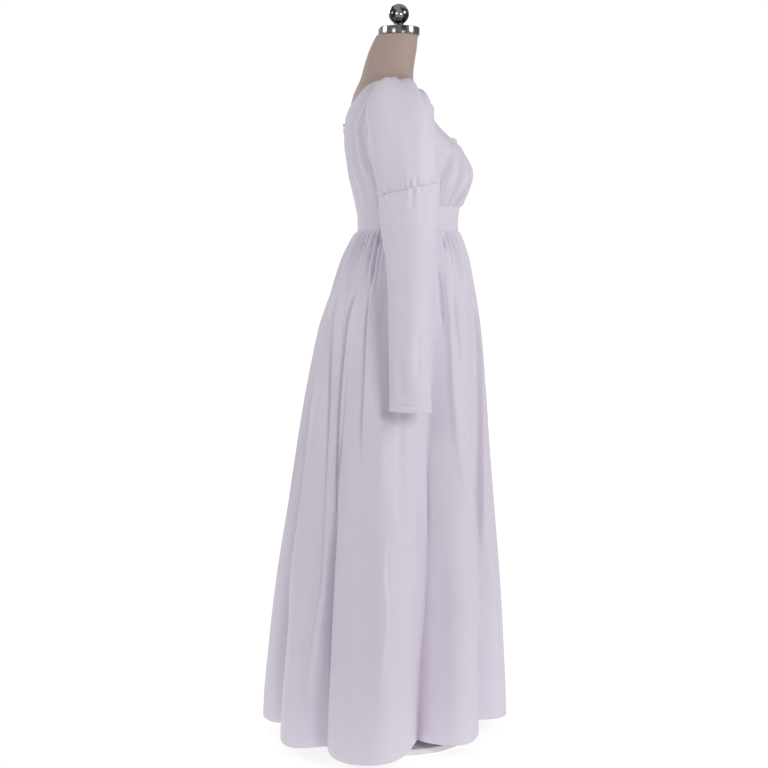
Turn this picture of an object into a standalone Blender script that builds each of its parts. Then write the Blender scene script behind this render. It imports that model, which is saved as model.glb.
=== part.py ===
"""A white Regency gown with puffed sleeves and a gathered skirt, standing on a limbless dress form.

Metres, +Z up. The front faces +X and the wearer's right side faces -Y. The origin lies on the floor,
under the middle of the form's base. "turn" is the angle round the body: 0 at the centre front,
a quarter turn at the wearer's left side and half a turn at the centre back.
"""

import math

import bmesh
import bpy
import numpy as np
from mathutils import Matrix

# Driving dimensions
CLOTH = 0.0018
SEAM = 0.0003
REST = 0.0009
EASE = 0.0030
STAND_OFF = 0.0075

HEM_HEIGHT = 0.030
BAND_BOTTOM = 1.048
BAND_TOP = 1.097
BAND_MIDDLE = 1.075
BAND_THICKNESS = 0.0024
SHOULDER_TOP = 1.337
SHOULDER_TIP = 1.318
UNDERARM = 1.168
SIDE_X = -0.0065
ARMHOLE_HALF_X = 0.045

TORSO_BOTTOM = 0.800
NECK_TOP = 1.4390
CAP_RADIUS = 0.0420
CAP_TOP = 1.4555
STEM_RADIUS = 0.0100
BALL_RADIUS = 0.0205
BALL_HEIGHT = 1.4825
POLE_RADIUS = 0.014
HUB_RADIUS = 0.026
HUB_TOP = 0.055
BASE_RADIUS = 0.150
BASE_THICKNESS = 0.014

FRONT_GATHERS = 10
SLEEVE_GATHERS = 10
PUFF_CORNER = 0.018
SKIRT_GATHERS = 36
COLUMNS_PER_GATHER = 4
SKIRT_COLUMNS = SKIRT_GATHERS * COLUMNS_PER_GATHER
ARMHOLE_COLUMNS = SLEEVE_GATHERS * COLUMNS_PER_GATHER
STRAP_COLUMNS = 4
BACK_COLUMNS = 6
ROWS_BELOW_ARMHOLE = 2
NECKLINE_ROW = 8
BACK_NECKLINE_ROW = 10
BODY_COLUMNS = 36

ZIP_HEIGHT = 1.2585
SLIDER = (0.0016, 0.0058, 0.0110)
PIN_RADIUS = 0.0006
EYE_RADIUS = 0.0016
EYE_CLEARANCE = 0.00035
TAB_WIDTH = 0.0030
TAB_THICKNESS = 0.0010
TAB_LENGTH = 0.0175

QUARTER = math.pi / 2
STEP = 1e-4


class Table:
    """Rows of sizes with named columns. Each column is read as a smooth curve over the first one."""

    def __init__(self, columns, rows):
        self.values = {name: [row[i] for row in rows] for i, name in enumerate(columns)}
        self.knots = self.values[columns[0]]

    def read(self, name, at):
        return smooth(at, self.knots, self.values[name])


def smooth(at, knots, values):
    """Value at a place on a smooth curve through the knots. The slope at a knot is the harmonic mean
    of the slopes beside it, or zero where they differ in sign, so the curve never overshoots."""
    knots = np.asarray(knots, float)
    values = np.asarray(values, float)
    at = np.clip(at, knots[0], knots[-1])
    step = np.diff(knots)
    rise = np.diff(values) / step
    slope = np.zeros(len(values))
    slope[0] = rise[0]
    slope[-1] = rise[-1]
    product = rise[:-1] * rise[1:]
    total = rise[:-1] + rise[1:]
    slope[1:-1] = np.where(product > 0, 2 * product / np.where(total == 0, 1, total), 0)
    i = np.clip(np.searchsorted(knots, at, side="right") - 1, 0, len(step) - 1)
    f = (at - knots[i]) / step[i]
    start = values[i] * (1 + 2 * f) * (1 - f) ** 2 + slope[i] * step[i] * f * (1 - f) ** 2
    end = values[i + 1] * f**2 * (3 - 2 * f) - slope[i + 1] * step[i] * f**2 * (1 - f)
    return start + end


def bump(distance, width):
    """A hill that is 1 in the middle and fades over the width."""
    return np.exp(-((distance / width) ** 2))


def kick(at, peak):
    """Zero with no slope at the start, 1 at the peak, then fading."""
    share = np.clip(at, 0, None) / peak
    return share**2 * np.exp(2 * (1 - share))


# The dress form: one row for each level of its outline
TORSO = Table(
    ("height", "front", "back", "half_width", "squareness", "middle"),
    [
        (0.800, 0.084, -0.092, 0.120, 2.2, -0.0065),
        (0.850, 0.092, -0.104, 0.130, 2.2, -0.0065),
        (0.900, 0.096, -0.104, 0.130, 2.2, -0.0065),
        (0.970, 0.100, -0.088, 0.122, 2.2, -0.0065),
        (1.048, 0.1165, -0.0805, 0.124, 2.3, -0.0065),
        (1.075, 0.1175, -0.0810, 0.128, 2.3, -0.0065),
        (1.097, 0.1185, -0.0835, 0.131, 2.3, -0.0065),
        (1.130, 0.1200, -0.0895, 0.139, 2.4, -0.0065),
        (1.165, 0.1190, -0.0975, 0.146, 2.5, -0.0065),
        (1.195, 0.1130, -0.1010, 0.152, 2.6, -0.0065),
        (1.222, 0.0990, -0.1035, 0.158, 2.8, -0.0065),
        (1.240, 0.0850, -0.1035, 0.161, 2.8, -0.0065),
        (1.262, 0.0690, -0.1020, 0.165, 2.8, -0.0065),
        (1.285, 0.0560, -0.0990, 0.169, 2.8, -0.0065),
        (1.300, 0.0490, -0.0965, 0.1685, 2.75, -0.0065),
        (1.309, 0.0450, -0.0945, 0.1645, 2.65, -0.0065),
        (1.318, 0.0410, -0.0920, 0.1550, 2.55, -0.0065),
        (1.327, 0.0370, -0.0885, 0.1380, 2.45, -0.0065),
        (1.337, 0.0335, -0.0845, 0.1130, 2.35, -0.0065),
        (1.347, 0.0305, -0.0800, 0.0900, 2.2, -0.0120),
        (1.358, 0.0290, -0.0760, 0.0730, 2.1, -0.0170),
        (1.375, 0.0300, -0.0715, 0.0620, 2.0, -0.0190),
        (1.392, 0.0325, -0.0665, 0.0560, 2.0, -0.0170),
        (1.415, 0.0360, -0.0580, 0.0500, 2.0, -0.0110),
        (1.439, 0.0385, -0.0460, 0.0430, 2.0, -0.0040),
    ],
)
BUST = dict(rise=0.033, turn=math.radians(33), spread=math.radians(21), height=1.156, tall=0.047)


def section(turn, front, back, half_width, squareness, middle):
    """A level section: an ellipse where squareness is 2, and fuller at its corners above 2."""
    c = np.cos(turn)
    s = np.sin(turn)
    reach = np.where(c > 0, front - middle, middle - back)
    x = middle + reach * np.sign(c) * np.abs(c) ** (2 / squareness)
    y = half_width * np.sign(s) * np.abs(s) ** (2 / squareness)
    return x, y


def body(turn, height):
    """A point of the form's surface."""
    names = ("front", "back", "half_width", "squareness", "middle")
    x, y = section(turn, *[TORSO.read(name, height) for name in names])
    away = np.angle(np.exp(1j * turn))
    breasts = bump(away - BUST["turn"], BUST["spread"]) + bump(away + BUST["turn"], BUST["spread"])
    x = x + BUST["rise"] * breasts * bump(height - BUST["height"], BUST["tall"])
    return np.stack([x, y, height + 0 * x], axis=-1)


def turn_at_x(x, height):
    """The turn, on the wearer's left, at which the form's section has this x."""
    middle = TORSO.read("middle", height)
    reach = np.where(x > middle, TORSO.read("front", height) - middle, middle - TORSO.read("back", height))
    share = np.clip(np.abs(x - middle) / reach, 0, 1)
    return np.arccos(np.sign(x - middle) * share ** (TORSO.read("squareness", height) / 2))


def centre_turn(height):
    """The turn just beside the centre back, half a seam's gap away from it."""
    share = SEAM / 2 / TORSO.read("half_width", height)
    return math.pi - np.arcsin(share ** (TORSO.read("squareness", height) / 2))


def normal_of(surface, u, v):
    """Unit normal of a surface of two parameters, from small steps either way. The two steps across u
    count alike, so the normal halves the angle of a sharp valley."""
    here = surface(u, v)
    steps = [surface(u + STEP, v) - here, here - surface(u - STEP, v)]
    along_u = sum(step / np.linalg.norm(step, axis=-1, keepdims=True) for step in steps)
    along_v = surface(u, v + STEP) - surface(u, v - STEP)
    normal = np.cross(along_u, along_v)
    return normal / np.linalg.norm(normal, axis=-1, keepdims=True)


def air(turn, height):
    """Air between the form and the cloth: little where the cloth rests, more over the bust and back,
    and most at the front neckline, which stands off the chest."""
    levels = [BAND_BOTTOM, BAND_MIDDLE, BAND_TOP, 1.140, 1.280, SHOULDER_TIP, NECK_TOP]
    rest = smooth(height, levels, [REST, REST, 2 * REST, EASE, EASE, 2 * REST, 2 * REST])
    away = np.angle(np.exp(1j * turn))
    return rest + STAND_OFF * bump(away, math.radians(30)) * bump(height - 1.219, 0.026)


def on_body(turn, height, lift):
    """A point this far out from the inner face of plain cloth that hangs on the form."""
    reach = air(turn, height) + lift
    return body(turn, height) + normal_of(body, turn, height) * np.asarray(reach)[..., None]


# The edges of the bodice, as places on the form, from the neckline to the shoulder seam
FRONT_EDGE = Table(
    ("share", "height", "degrees"),
    [
        (0.00, 1.2240, 25.0),
        (0.22, 1.2500, 26.5),
        (0.46, 1.2790, 28.5),
        (0.68, 1.3050, 34.0),
        (0.84, 1.3220, 46.0),
        (0.93, 1.3310, 63.0),
        (1.00, 1.3370, 89.9),
    ],
)
BACK_EDGE = Table(
    ("share", "height", "degrees"),
    [
        (0.00, 1.2700, 180.0),
        (0.22, 1.2770, 166.5),
        (0.42, 1.2900, 151.5),
        (0.60, 1.3050, 137.0),
        (0.75, 1.3210, 128.0),
        (0.89, 1.3330, 113.0),
        (1.00, 1.3370, 90.1),
    ],
)


def armhole(angle, shrink=0.0):
    """The armhole's edge as x and height. The angle is 0 at the shoulder, and a quarter at the front."""
    middle = (SHOULDER_TIP + UNDERARM) / 2
    x = SIDE_X + (ARMHOLE_HALF_X - shrink) * np.sin(angle)
    return x, middle + ((SHOULDER_TIP - UNDERARM) / 2 - shrink) * np.cos(angle)


def side_edge(row, side):
    """Turn and height of the side seam, then of the armhole, at a row. side is 1 for the front."""
    if row < ROWS_BELOW_ARMHOLE:
        bottom = BAND_TOP + SEAM
        height = bottom + (UNDERARM - bottom) * row / ROWS_BELOW_ARMHOLE
        return turn_at_x(SIDE_X + side * SEAM / 2, height), height
    angle = math.pi * (1 - (row - ROWS_BELOW_ARMHOLE) / (ARMHOLE_COLUMNS // 2))
    x, height = armhole(angle)
    x = SIDE_X + side * max(abs(x - SIDE_X), SEAM / 2)
    return turn_at_x(x, height), height


def front_place(row, column):
    """Turn and height of a grid point of the bodice front. Column 0 is the centre front."""
    half = FRONT_GATHERS * COLUMNS_PER_GATHER // 2
    neckline = ROWS_BELOW_ARMHOLE + NECKLINE_ROW
    last = ROWS_BELOW_ARMHOLE + ARMHOLE_COLUMNS // 2
    bottom = BAND_TOP + SEAM
    if row > neckline:
        share = (row - neckline) / (last - neckline)
        height = FRONT_EDGE.read("height", share)
        turn = math.radians(FRONT_EDGE.read("degrees", share))
    else:
        top = FRONT_EDGE.read("height", 0.0)
        height = bottom + (top - bottom) * row / neckline
        turn = math.radians(smooth(height, [bottom, 1.160, top], [40.0, 38.0, 25.0]))
    across = abs(column) / half
    if across <= 1:
        drop = 0.005 * row / neckline * (1 - across**4)
        return turn * column / half, height - drop
    share = (abs(column) - half) / STRAP_COLUMNS
    side_turn, side_height = side_edge(row, 1)
    turn = turn + (side_turn - turn) * share
    return math.copysign(turn, column), height + (side_height - height) * share


def back_place(row, column):
    """Turn and height of a grid point of a bodice back. Column 0 is the centre back."""
    neckline = ROWS_BELOW_ARMHOLE + BACK_NECKLINE_ROW
    last = ROWS_BELOW_ARMHOLE + ARMHOLE_COLUMNS // 2
    bottom = BAND_TOP + SEAM
    top = BACK_EDGE.read("height", 0.0)
    share = max(0.0, (row - neckline) / (last - neckline))
    height = BACK_EDGE.read("height", share) if row > neckline else bottom + (top - bottom) * row / neckline
    turn = min(math.radians(BACK_EDGE.read("degrees", share)), centre_turn(height))
    side_turn, side_height = side_edge(row, -1)
    across = column / BACK_COLUMNS
    return turn + (side_turn - turn) * across, height + (side_height - height) * across


def front_gathers(column, height):
    """Depth of the front's gathers, which are drawn in at the waistband and at the neckline."""
    half = FRONT_GATHERS * COLUMNS_PER_GATHER // 2
    levels = [BAND_TOP, 1.112, 1.140, 1.185, 1.212, 1.224]
    depth = smooth(height, levels, [0.0007, 0.0019, 0.0016, 0.0010, 0.0016, 0.0014])
    wave = 1 - np.cos(2 * math.pi * np.asarray(column) / COLUMNS_PER_GATHER)
    return depth * wave * (np.abs(column) <= half)


# Sleeves: the puff runs from the armhole to a slanted seam, and the lower sleeve from there to the cuff
SLEEVE = Table(
    ("height", "back", "front", "inner", "outer"),
    [
        (0.705, -0.0195, 0.0613, -0.2135, -0.2740),
        (0.755, -0.0200, 0.0585, -0.2050, -0.2700),
        (0.827, -0.0205, 0.0545, -0.1950, -0.2640),
        (0.900, -0.0220, 0.0605, -0.1855, -0.2620),
        (0.944, -0.0235, 0.0642, -0.1800, -0.2620),
        (0.991, -0.0265, 0.0668, -0.1745, -0.2620),
        (1.038, -0.0345, 0.0705, -0.1700, -0.2620),
        (1.100, -0.0395, 0.0745, -0.1660, -0.2620),
        (1.140, -0.0410, 0.0760, -0.1640, -0.2620),
    ],
)
SEAM_HEIGHT = 1.124
SEAM_SLANT = 0.209
CUFF_SLANT = -0.030
PUFF_ROWS = (0.0, 0.012, 0.065, 0.17, 0.36, 0.60, 0.84, 1.0)
LOWER_ROWS = (1.0, 0.86, 0.66, 0.44, 0.29, 0.12, 0.0)


def sleeve_ring(angle, height, slant=0.0):
    """A point of the right sleeve's outline. The angle is 0 outside and a quarter at the front."""
    sizes = [SLEEVE.read(name, height) for name in ("back", "front", "inner", "outer")]
    back, front, inner, outer = sizes
    x = (front + back) / 2 + (front - back) / 2 * np.sin(angle)
    y = (inner + outer) / 2 + (outer - inner) / 2 * np.cos(angle)
    return np.stack([x, y, height + slant * (x - (front + back) / 2)], axis=-1)


def sleeve_lower(angle, share):
    """The lower sleeve. share is 0 at the cuff and 1 at the seam with the puff."""
    top = SEAM_HEIGHT - 3 * SEAM
    height = SLEEVE.knots[0] + (top - SLEEVE.knots[0]) * share
    slant = CUFF_SLANT + (SEAM_SLANT - CUFF_SLANT) * smooth(share, [0, 0.6, 0.85, 1], [0, 0.05, 0.45, 1])
    return sleeve_ring(angle, height, slant)


def sleeve_puff(angle, share):
    """The puff. share is 0 at the armhole and 1 at the seam with the lower sleeve."""
    x, height = armhole(angle, SEAM)
    turn = -turn_at_x(x, height)
    start = on_body(turn, height, 0 * x)
    out = normal_of(body, turn, height)
    end = sleeve_ring(angle, SEAM_HEIGHT + 0 * x, SEAM_SLANT)
    top = (1 + np.cos(angle)) / 2
    front = np.clip(np.sin(angle), 0, 1) * np.clip(2 * top, 0, 1)
    leave = out * (0.045 + 0.200 * top**0.8)[..., None]
    arrive = np.stack([0.070 * front - 0.020 * np.sin(angle), 0.15 * top, -0.05 - 0.22 * top], axis=-1)
    t = share[..., None]
    path = start * (1 + 2 * t) * (1 - t) ** 2 + leave * t * (1 - t) ** 2
    path = path + end * t**2 * (3 - 2 * t) - arrive * t**2 * (1 - t)
    corner = bump(np.angle(np.exp(1j * angle)) + math.radians(40), math.radians(24))
    flare = PUFF_CORNER * corner * kick(share, 0.25) * top**0.3
    head = 0.0022 * kick(share, 0.10) * np.clip(1.5 * top, 0, 1)
    foot = 0.0016 * kick(1 - share, 0.08)
    wave = (head + foot) * np.cos(SLEEVE_GATHERS * angle)
    away = np.stack([np.sin(angle), -0.35 * top, np.cos(angle)], axis=-1)
    drop = np.stack([np.sin(angle), -np.cos(angle), 0 * x], axis=-1)
    return path + away * (flare + wave * (1 - share))[..., None] + drop * (wave * share)[..., None]


# The skirt: folds are listed round the hem from the centre front by the wearer's left side.
# Each row has the column of the skirt's grid where a fold starts, the valley there and the crest.
FOLDS = Table(
    ("start", "valley_x", "valley_y", "crest_x", "crest_y", "fullness"),
    [
        (-8, 0.166, -0.012, 0.230, 0.030, 0.60),
        (8, 0.168, 0.075, 0.134, 0.180, 0.95),
        (22, 0.060, 0.132, -0.006, 0.266, 1.05),
        (41, -0.060, 0.192, -0.134, 0.236, 1.25),
        (54, -0.150, 0.165, -0.212, 0.165, 0.95),
        (65, -0.232, 0.088, -0.287, 0.020, 0.65),
        (79, -0.240, -0.030, -0.200, -0.186, 0.50),
        (94, -0.143, -0.178, -0.064, -0.285, 0.54),
        (119, 0.038, -0.130, 0.112, -0.172, 0.80),
        (136, 0.166, -0.012, 0.230, 0.030, 0.60),
    ],
)
HEM_OVAL = (0.212, -0.268, 0.232, 2.1, -0.020)
SKIRT = Table(
    ("height", "spread", "folds", "forward"),
    [
        (0.030, 1.000, 1.00, 0.000),
        (0.069, 0.990, 1.00, 0.000),
        (0.197, 0.925, 0.99, 0.000),
        (0.325, 0.845, 0.96, 0.000),
        (0.452, 0.745, 0.92, 0.000),
        (0.578, 0.645, 0.86, 0.001),
        (0.702, 0.553, 0.72, 0.003),
        (0.826, 0.445, 0.48, 0.005),
        (0.908, 0.345, 0.28, 0.005),
        (0.990, 0.190, 0.10, 0.003),
        (1.030, 0.065, 0.02, 0.001),
        (1.048, 0.000, 0.00, 0.000),
    ],
)
SKIRT_ROWS = (0.030, 0.200, 0.400, 0.600, 0.770, 0.905, 0.985, 1.026, BAND_BOTTOM - SEAM)
VALLEY_ROUND = 0.110
SIDE_SEAMS = (0.250, 0.750)
CENTRE_BACK = 0.500


def hem(share):
    """The hem seen from above. Between two valleys the cloth swells out to a ridge that lies square to
    the crest's way out, like a power of a sine, and its flanks are drawn together at the valleys."""
    starts = np.array(FOLDS.knots) / SKIRT_COLUMNS
    share = np.mod(np.asarray(share, float) - starts[0], 1.0) + starts[0]
    i = np.clip(np.searchsorted(starts, share, side="right") - 1, 0, len(starts) - 2)
    column = {name: np.array(FOLDS.values[name]) for name in FOLDS.values}
    f = (share - starts[i]) / (starts[i + 1] - starts[i])
    along = 0.5 - 0.5 * np.cos(math.pi * f) * (1 + 0.10 * np.sin(math.pi * f) ** 2)
    power = column["fullness"][i] / 2
    swell = (np.sin(math.pi * f) ** 2 + VALLEY_ROUND) ** power - VALLEY_ROUND**power
    swell = swell / ((1 + VALLEY_ROUND) ** power - VALLEY_ROUND**power)
    first = [column["valley_" + axis][i] for axis in "xy"]
    last = [column["valley_" + axis][i + 1] for axis in "xy"]
    crest = [column["crest_" + axis][i] for axis in "xy"]
    chord = [b - a for a, b in zip(first, last)]
    out = [c - (a + b) / 2 for a, b, c in zip(first, last, crest)]
    reach = np.hypot(*out)
    lean = (chord[0] * out[0] + chord[1] * out[1]) / reach**2
    points = []
    for k in range(2):
        base = first[k] + chord[k] * along
        ridge = crest[k] + (chord[k] - lean * out[k]) * (along - 0.5)
        points.append(base * (1 - swell) + ridge * swell)
    return points


def skirt(share, height):
    """A point of the skirt's outer face. share is 0 at the centre front and 0.25 at the left side."""
    turn = 2 * math.pi * share
    waist = on_body(turn, BAND_BOTTOM + 0 * share, CLOTH + 0 * share)
    oval = section(turn, *HEM_OVAL)
    folded = hem(share)
    spread = SKIRT.read("spread", height)
    depth = SKIRT.read("folds", height)
    x = waist[..., 0] * (1 - spread) + (oval[0] + depth * (folded[0] - oval[0])) * spread
    x = x + SKIRT.read("forward", height)
    y = waist[..., 1] * (1 - spread) + (oval[1] + depth * (folded[1] - oval[1])) * spread
    levels = [0.80, 0.90, 0.985, 1.022, 1.036, BAND_BOTTOM]
    gather = smooth(height, levels, [0.0, 0.0010, 0.0028, 0.0036, 0.0030, 0.0006])
    uneven = 1 + 0.25 * np.sin(2 * math.pi * 5 * share + 1) + 0.15 * np.sin(2 * math.pi * 11 * share)
    swell = gather * uneven * (0.4 + np.cos(2 * math.pi * SKIRT_GATHERS * share))
    return np.stack([x + np.cos(turn) * swell, y + np.sin(turn) * swell, height + 0 * x], axis=-1)


def skirt_share(share, height, side):
    """A seam's place at a height, moved half the seam's gap along the cloth."""
    run = np.linalg.norm(skirt(share + STEP, height) - skirt(share - STEP, height), axis=-1) / (2 * STEP)
    return share + side * SEAM / 2 / run


# Making meshes
def material(name, colour, roughness, metallic=0.0):
    made = bpy.data.materials.new(name)
    made.use_nodes = True
    shader = made.node_tree.nodes["Principled BSDF"]
    shader.inputs["Base Color"].default_value = (*colour, 1.0)
    shader.inputs["Roughness"].default_value = roughness
    shader.inputs["Metallic"].default_value = metallic
    made.diffuse_color = (*colour, 1.0)
    return made


def keep(name, bm, look):
    """Make one closed body into an object of the gown's collection, with its own material."""
    bmesh.ops.recalc_face_normals(bm, faces=bm.faces)
    mesh = bpy.data.meshes.new(name)
    bm.to_mesh(mesh)
    bm.free()
    made = bpy.data.objects.new(name, mesh)
    gown.objects.link(made)
    mesh.materials.append(material(name, *look))
    return made


def triangles(corners, points):
    """A four-sided face as two triangles that share its shorter diagonal."""
    a, b, c, d = corners
    p, q, r, s = points
    if np.linalg.norm(np.subtract(p, r)) <= np.linalg.norm(np.subtract(q, s)):
        return (a, b, c), (a, c, d)
    return (a, b, d), (b, c, d)


def shell(name, outer, inner, look, cells=None, closed=False):
    """A wall between two grids of points. Where cells is False the wall is left out, and a closed
    grid's last column meets its first. The wall is closed along every edge."""
    rows, columns = outer.shape[:2]
    across = columns if closed else columns - 1
    if cells is None:
        cells = np.ones((rows - 1, across), bool)
    bm = bmesh.new()
    layers = [{}, {}]

    def vertex(layer, i, j):
        grid = (outer, inner)[layer]
        key = (i, j % columns)
        if key not in layers[layer]:
            layers[layer][key] = bm.verts.new(grid[key])
        return layers[layer][key]

    borders = {}
    for i, j in zip(*np.nonzero(cells)):
        corners = [(i, j), (i, (j + 1) % columns), (i + 1, (j + 1) % columns), (i + 1, j)]
        for face in triangles(corners, [outer[i, j % columns] for i, j in corners]):
            bm.faces.new([vertex(0, *corner) for corner in face])
            bm.faces.new([vertex(1, *corner) for corner in reversed(face)])
        for a, b in zip(corners, corners[1:] + corners[:1]):
            if (b, a) in borders:
                del borders[(b, a)]
            else:
                borders[(a, b)] = True
    for a, b in borders:
        bm.faces.new([vertex(0, *b), vertex(0, *a), vertex(1, *a), vertex(1, *b)])
    return keep(name, bm, look)


def on_form(name, places, gathers, thickness, look, cells=None, closed=False):
    """A panel that lies on the form, from its grid of turns and heights."""
    turns, heights = places
    inner = on_body(turns, heights, gathers)
    outer = on_body(turns, heights, gathers + thickness)
    return shell(name, outer, inner, look, cells, closed)


def walled(surface, u, v, outwards):
    """Outer and inner faces of a wall whose outer face is a surface of two parameters."""
    outer = surface(u, v)
    return outer, outer - outwards * CLOTH * normal_of(surface, u, v)


def mirrored(points):
    return points * np.array([1.0, -1.0, 1.0])


def turned(name, outline, centre, look, columns=32):
    """A closed body turned from an outline of radius and height, whose ends lie on the axis."""
    bm = bmesh.new()
    rings = []
    for radius, height in outline:
        count = columns if radius > 0 else 1
        angles = [2 * math.pi * k / columns for k in range(count)]
        ring = [(centre + radius * math.cos(a), radius * math.sin(a), height) for a in angles]
        rings.append([bm.verts.new(point) for point in ring])
    for low, high in zip(rings, rings[1:]):
        for k in range(columns):
            face = [low[k % len(low)], low[(k + 1) % len(low)]]
            face += [high[(k + 1) % len(high)], high[k % len(high)]]
            bm.faces.new(list(dict.fromkeys(face)))
    return keep(name, bm, look)


for old in list(bpy.data.objects):
    bpy.data.objects.remove(old)
gown = bpy.data.collections.new("regency dress on dress form")
bpy.context.scene.collection.children.link(gown)
tools = bpy.data.collections.new("cutters")
bpy.context.scene.collection.children.link(tools)

WHITE = ((0.80, 0.78, 0.86), 0.85)
BEIGE = ((0.45, 0.34, 0.27), 0.80)
CHROME = ((0.85, 0.85, 0.86), 0.08, 1.0)
STEEL = ((0.55, 0.55, 0.57), 0.35, 1.0)
PAINT = ((0.86, 0.86, 0.87), 0.45)
DARK = ((0.12, 0.12, 0.13), 0.40, 1.0)

# The dress form, its cap and its stand
levels = [TORSO_BOTTOM, 0.86, 0.92, 0.98] + [h for h in TORSO.knots if h >= BAND_BOTTOM] + [1.112]
levels.sort()
turns = 2 * math.pi * np.arange(BODY_COLUMNS) / BODY_COLUMNS
bm = bmesh.new()
grid = body(*np.meshgrid(turns, levels))
rings = [[bm.verts.new(point) for point in row] for row in grid]
for low, high in zip(rings, rings[1:]):
    for k in range(BODY_COLUMNS):
        corners = [low[k], low[(k + 1) % BODY_COLUMNS], high[(k + 1) % BODY_COLUMNS], high[k]]
        for face in triangles(corners, [corner.co for corner in corners]):
            bm.faces.new(face)
bm.faces.new(list(reversed(rings[0])))
bm.faces.new(rings[-1])
keep("form_body", bm, BEIGE)

cap_bottom = NECK_TOP + SEAM
turned(
    "form_cap",
    [(0, cap_bottom), (CAP_RADIUS - 0.002, cap_bottom), (CAP_RADIUS, cap_bottom + 0.002),
     (CAP_RADIUS, CAP_TOP - 0.002), (CAP_RADIUS - 0.002, CAP_TOP), (0, CAP_TOP)],
    0.0, CHROME,
)
ball = []
for k in range(11):
    angle = math.pi * k / 10
    radius = BALL_RADIUS * math.sin(angle)
    height = BALL_HEIGHT - BALL_RADIUS * math.cos(angle)
    if k == 10:
        ball.append((0, height))
    elif radius > STEM_RADIUS or angle > QUARTER:
        ball.append((radius, height))
stem_bottom = CAP_TOP + SEAM
turned("form_finial", [(0, stem_bottom), (STEM_RADIUS, stem_bottom), (STEM_RADIUS, ball[0][1] - 0.002)] + ball,
       0.0, CHROME, 24)
pole_top = TORSO_BOTTOM - SEAM
pole_bottom = HUB_TOP + SEAM
turned("stand_pole", [(0, pole_bottom), (POLE_RADIUS, pole_bottom), (POLE_RADIUS, pole_top), (0, pole_top)],
       0.0, STEEL, 20)
turned(
    "stand_base",
    [(0, 0), (BASE_RADIUS, 0), (BASE_RADIUS, BASE_THICKNESS - 0.003), (BASE_RADIUS - 0.003, BASE_THICKNESS),
     (HUB_RADIUS, BASE_THICKNESS), (HUB_RADIUS, HUB_TOP - 0.002), (HUB_RADIUS - 0.002, HUB_TOP), (0, HUB_TOP)],
    0.0, PAINT, 40,
)

# Bodice
last_row = ROWS_BELOW_ARMHOLE + ARMHOLE_COLUMNS // 2
half = FRONT_GATHERS * COLUMNS_PER_GATHER // 2
columns = np.arange(-half - STRAP_COLUMNS, half + STRAP_COLUMNS + 1)
places = np.array([[front_place(row, c) for c in columns] for row in range(last_row + 1)])
cells = np.ones((last_row, len(columns) - 1), bool)
cells[ROWS_BELOW_ARMHOLE + NECKLINE_ROW :, STRAP_COLUMNS:-STRAP_COLUMNS] = False
places = np.moveaxis(places, -1, 0)
gathers = front_gathers(columns[None, :], places[1])
on_form("bodice_front", places, gathers, CLOTH, WHITE, cells)

back = [[back_place(row, c) for c in range(BACK_COLUMNS + 1)] for row in range(last_row + 1)]
back = np.moveaxis(np.array(back), -1, 0)
on_form("bodice_back_left", back, 0 * back[0], CLOTH, WHITE)
on_form("bodice_back_right", (-back[0], back[1]), 0 * back[0], CLOTH, WHITE)

band = np.meshgrid(np.linspace(-math.pi, math.pi, BODY_COLUMNS + 1), [BAND_BOTTOM, BAND_MIDDLE, BAND_TOP])
band[0][:, -1] = centre_turn(band[1][:, -1])
band[0][:, 0] = -band[0][:, -1]
on_form("waistband", band, 0 * band[0], BAND_THICKNESS, WHITE)

# Sleeves
angles = 2 * math.pi * np.arange(ARMHOLE_COLUMNS) / ARMHOLE_COLUMNS
puff = walled(sleeve_puff, *np.meshgrid(angles, PUFF_ROWS), outwards=-1)
shell("sleeve_puff_right", *puff, WHITE, closed=True)
shell("sleeve_puff_left", *map(mirrored, puff), WHITE, closed=True)
angles = 2 * math.pi * np.arange(ARMHOLE_COLUMNS // 2) / (ARMHOLE_COLUMNS // 2)
lower = walled(sleeve_lower, *np.meshgrid(angles, LOWER_ROWS), outwards=1)
shell("sleeve_lower_right", *lower, WHITE, closed=True)
shell("sleeve_lower_left", *map(mirrored, lower), WHITE, closed=True)

# Skirt
pieces = {
    "skirt_front": (SIDE_SEAMS[1] - 1, SIDE_SEAMS[0]),
    "skirt_back_left": (SIDE_SEAMS[0], CENTRE_BACK),
    "skirt_back_right": (CENTRE_BACK, SIDE_SEAMS[1]),
}
for name, (start, end) in pieces.items():
    count = round((end - start) * SKIRT_COLUMNS)
    shares, heights = np.meshgrid(np.linspace(start, end, count + 1), SKIRT_ROWS)
    shares[:, 0] = skirt_share(shares[:, 0], heights[:, 0], 1)
    shares[:, -1] = skirt_share(shares[:, -1], heights[:, -1], -1)
    shell(name, *walled(skirt, shares, heights, outwards=1), WHITE)

# The zip's slider with its pull tab, at the top of the centre back
thick, wide, tall = SLIDER
skin = on_body(np.array(math.pi), np.array(ZIP_HEIGHT), np.array(CLOTH))
face_x = float(skin[0]) - SEAM - 0.0004
pin_x = face_x - thick - EYE_RADIUS - 0.0003
pin_height = ZIP_HEIGHT + tall / 2 - EYE_RADIUS - 0.0004


def block(x, y, z):
    """A box from its spans in x, y and z."""
    made = bmesh.new()
    size = Matrix.Diagonal((x[1] - x[0], y[1] - y[0], z[1] - z[0], 1))
    middle = Matrix.Translation(((x[0] + x[1]) / 2, (y[0] + y[1]) / 2, (z[0] + z[1]) / 2))
    bmesh.ops.create_cube(made, size=1.0, matrix=middle @ size)
    return made


def rod(radius, y, sides, x, z):
    """A round bar along Y."""
    made = bmesh.new()
    place = Matrix.Translation((x, (y[0] + y[1]) / 2, z)) @ Matrix.Rotation(QUARTER, 4, "X")
    bmesh.ops.create_cone(made, cap_ends=True, segments=sides, radius1=radius, radius2=radius,
                          depth=y[1] - y[0], matrix=place)
    return made


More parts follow.
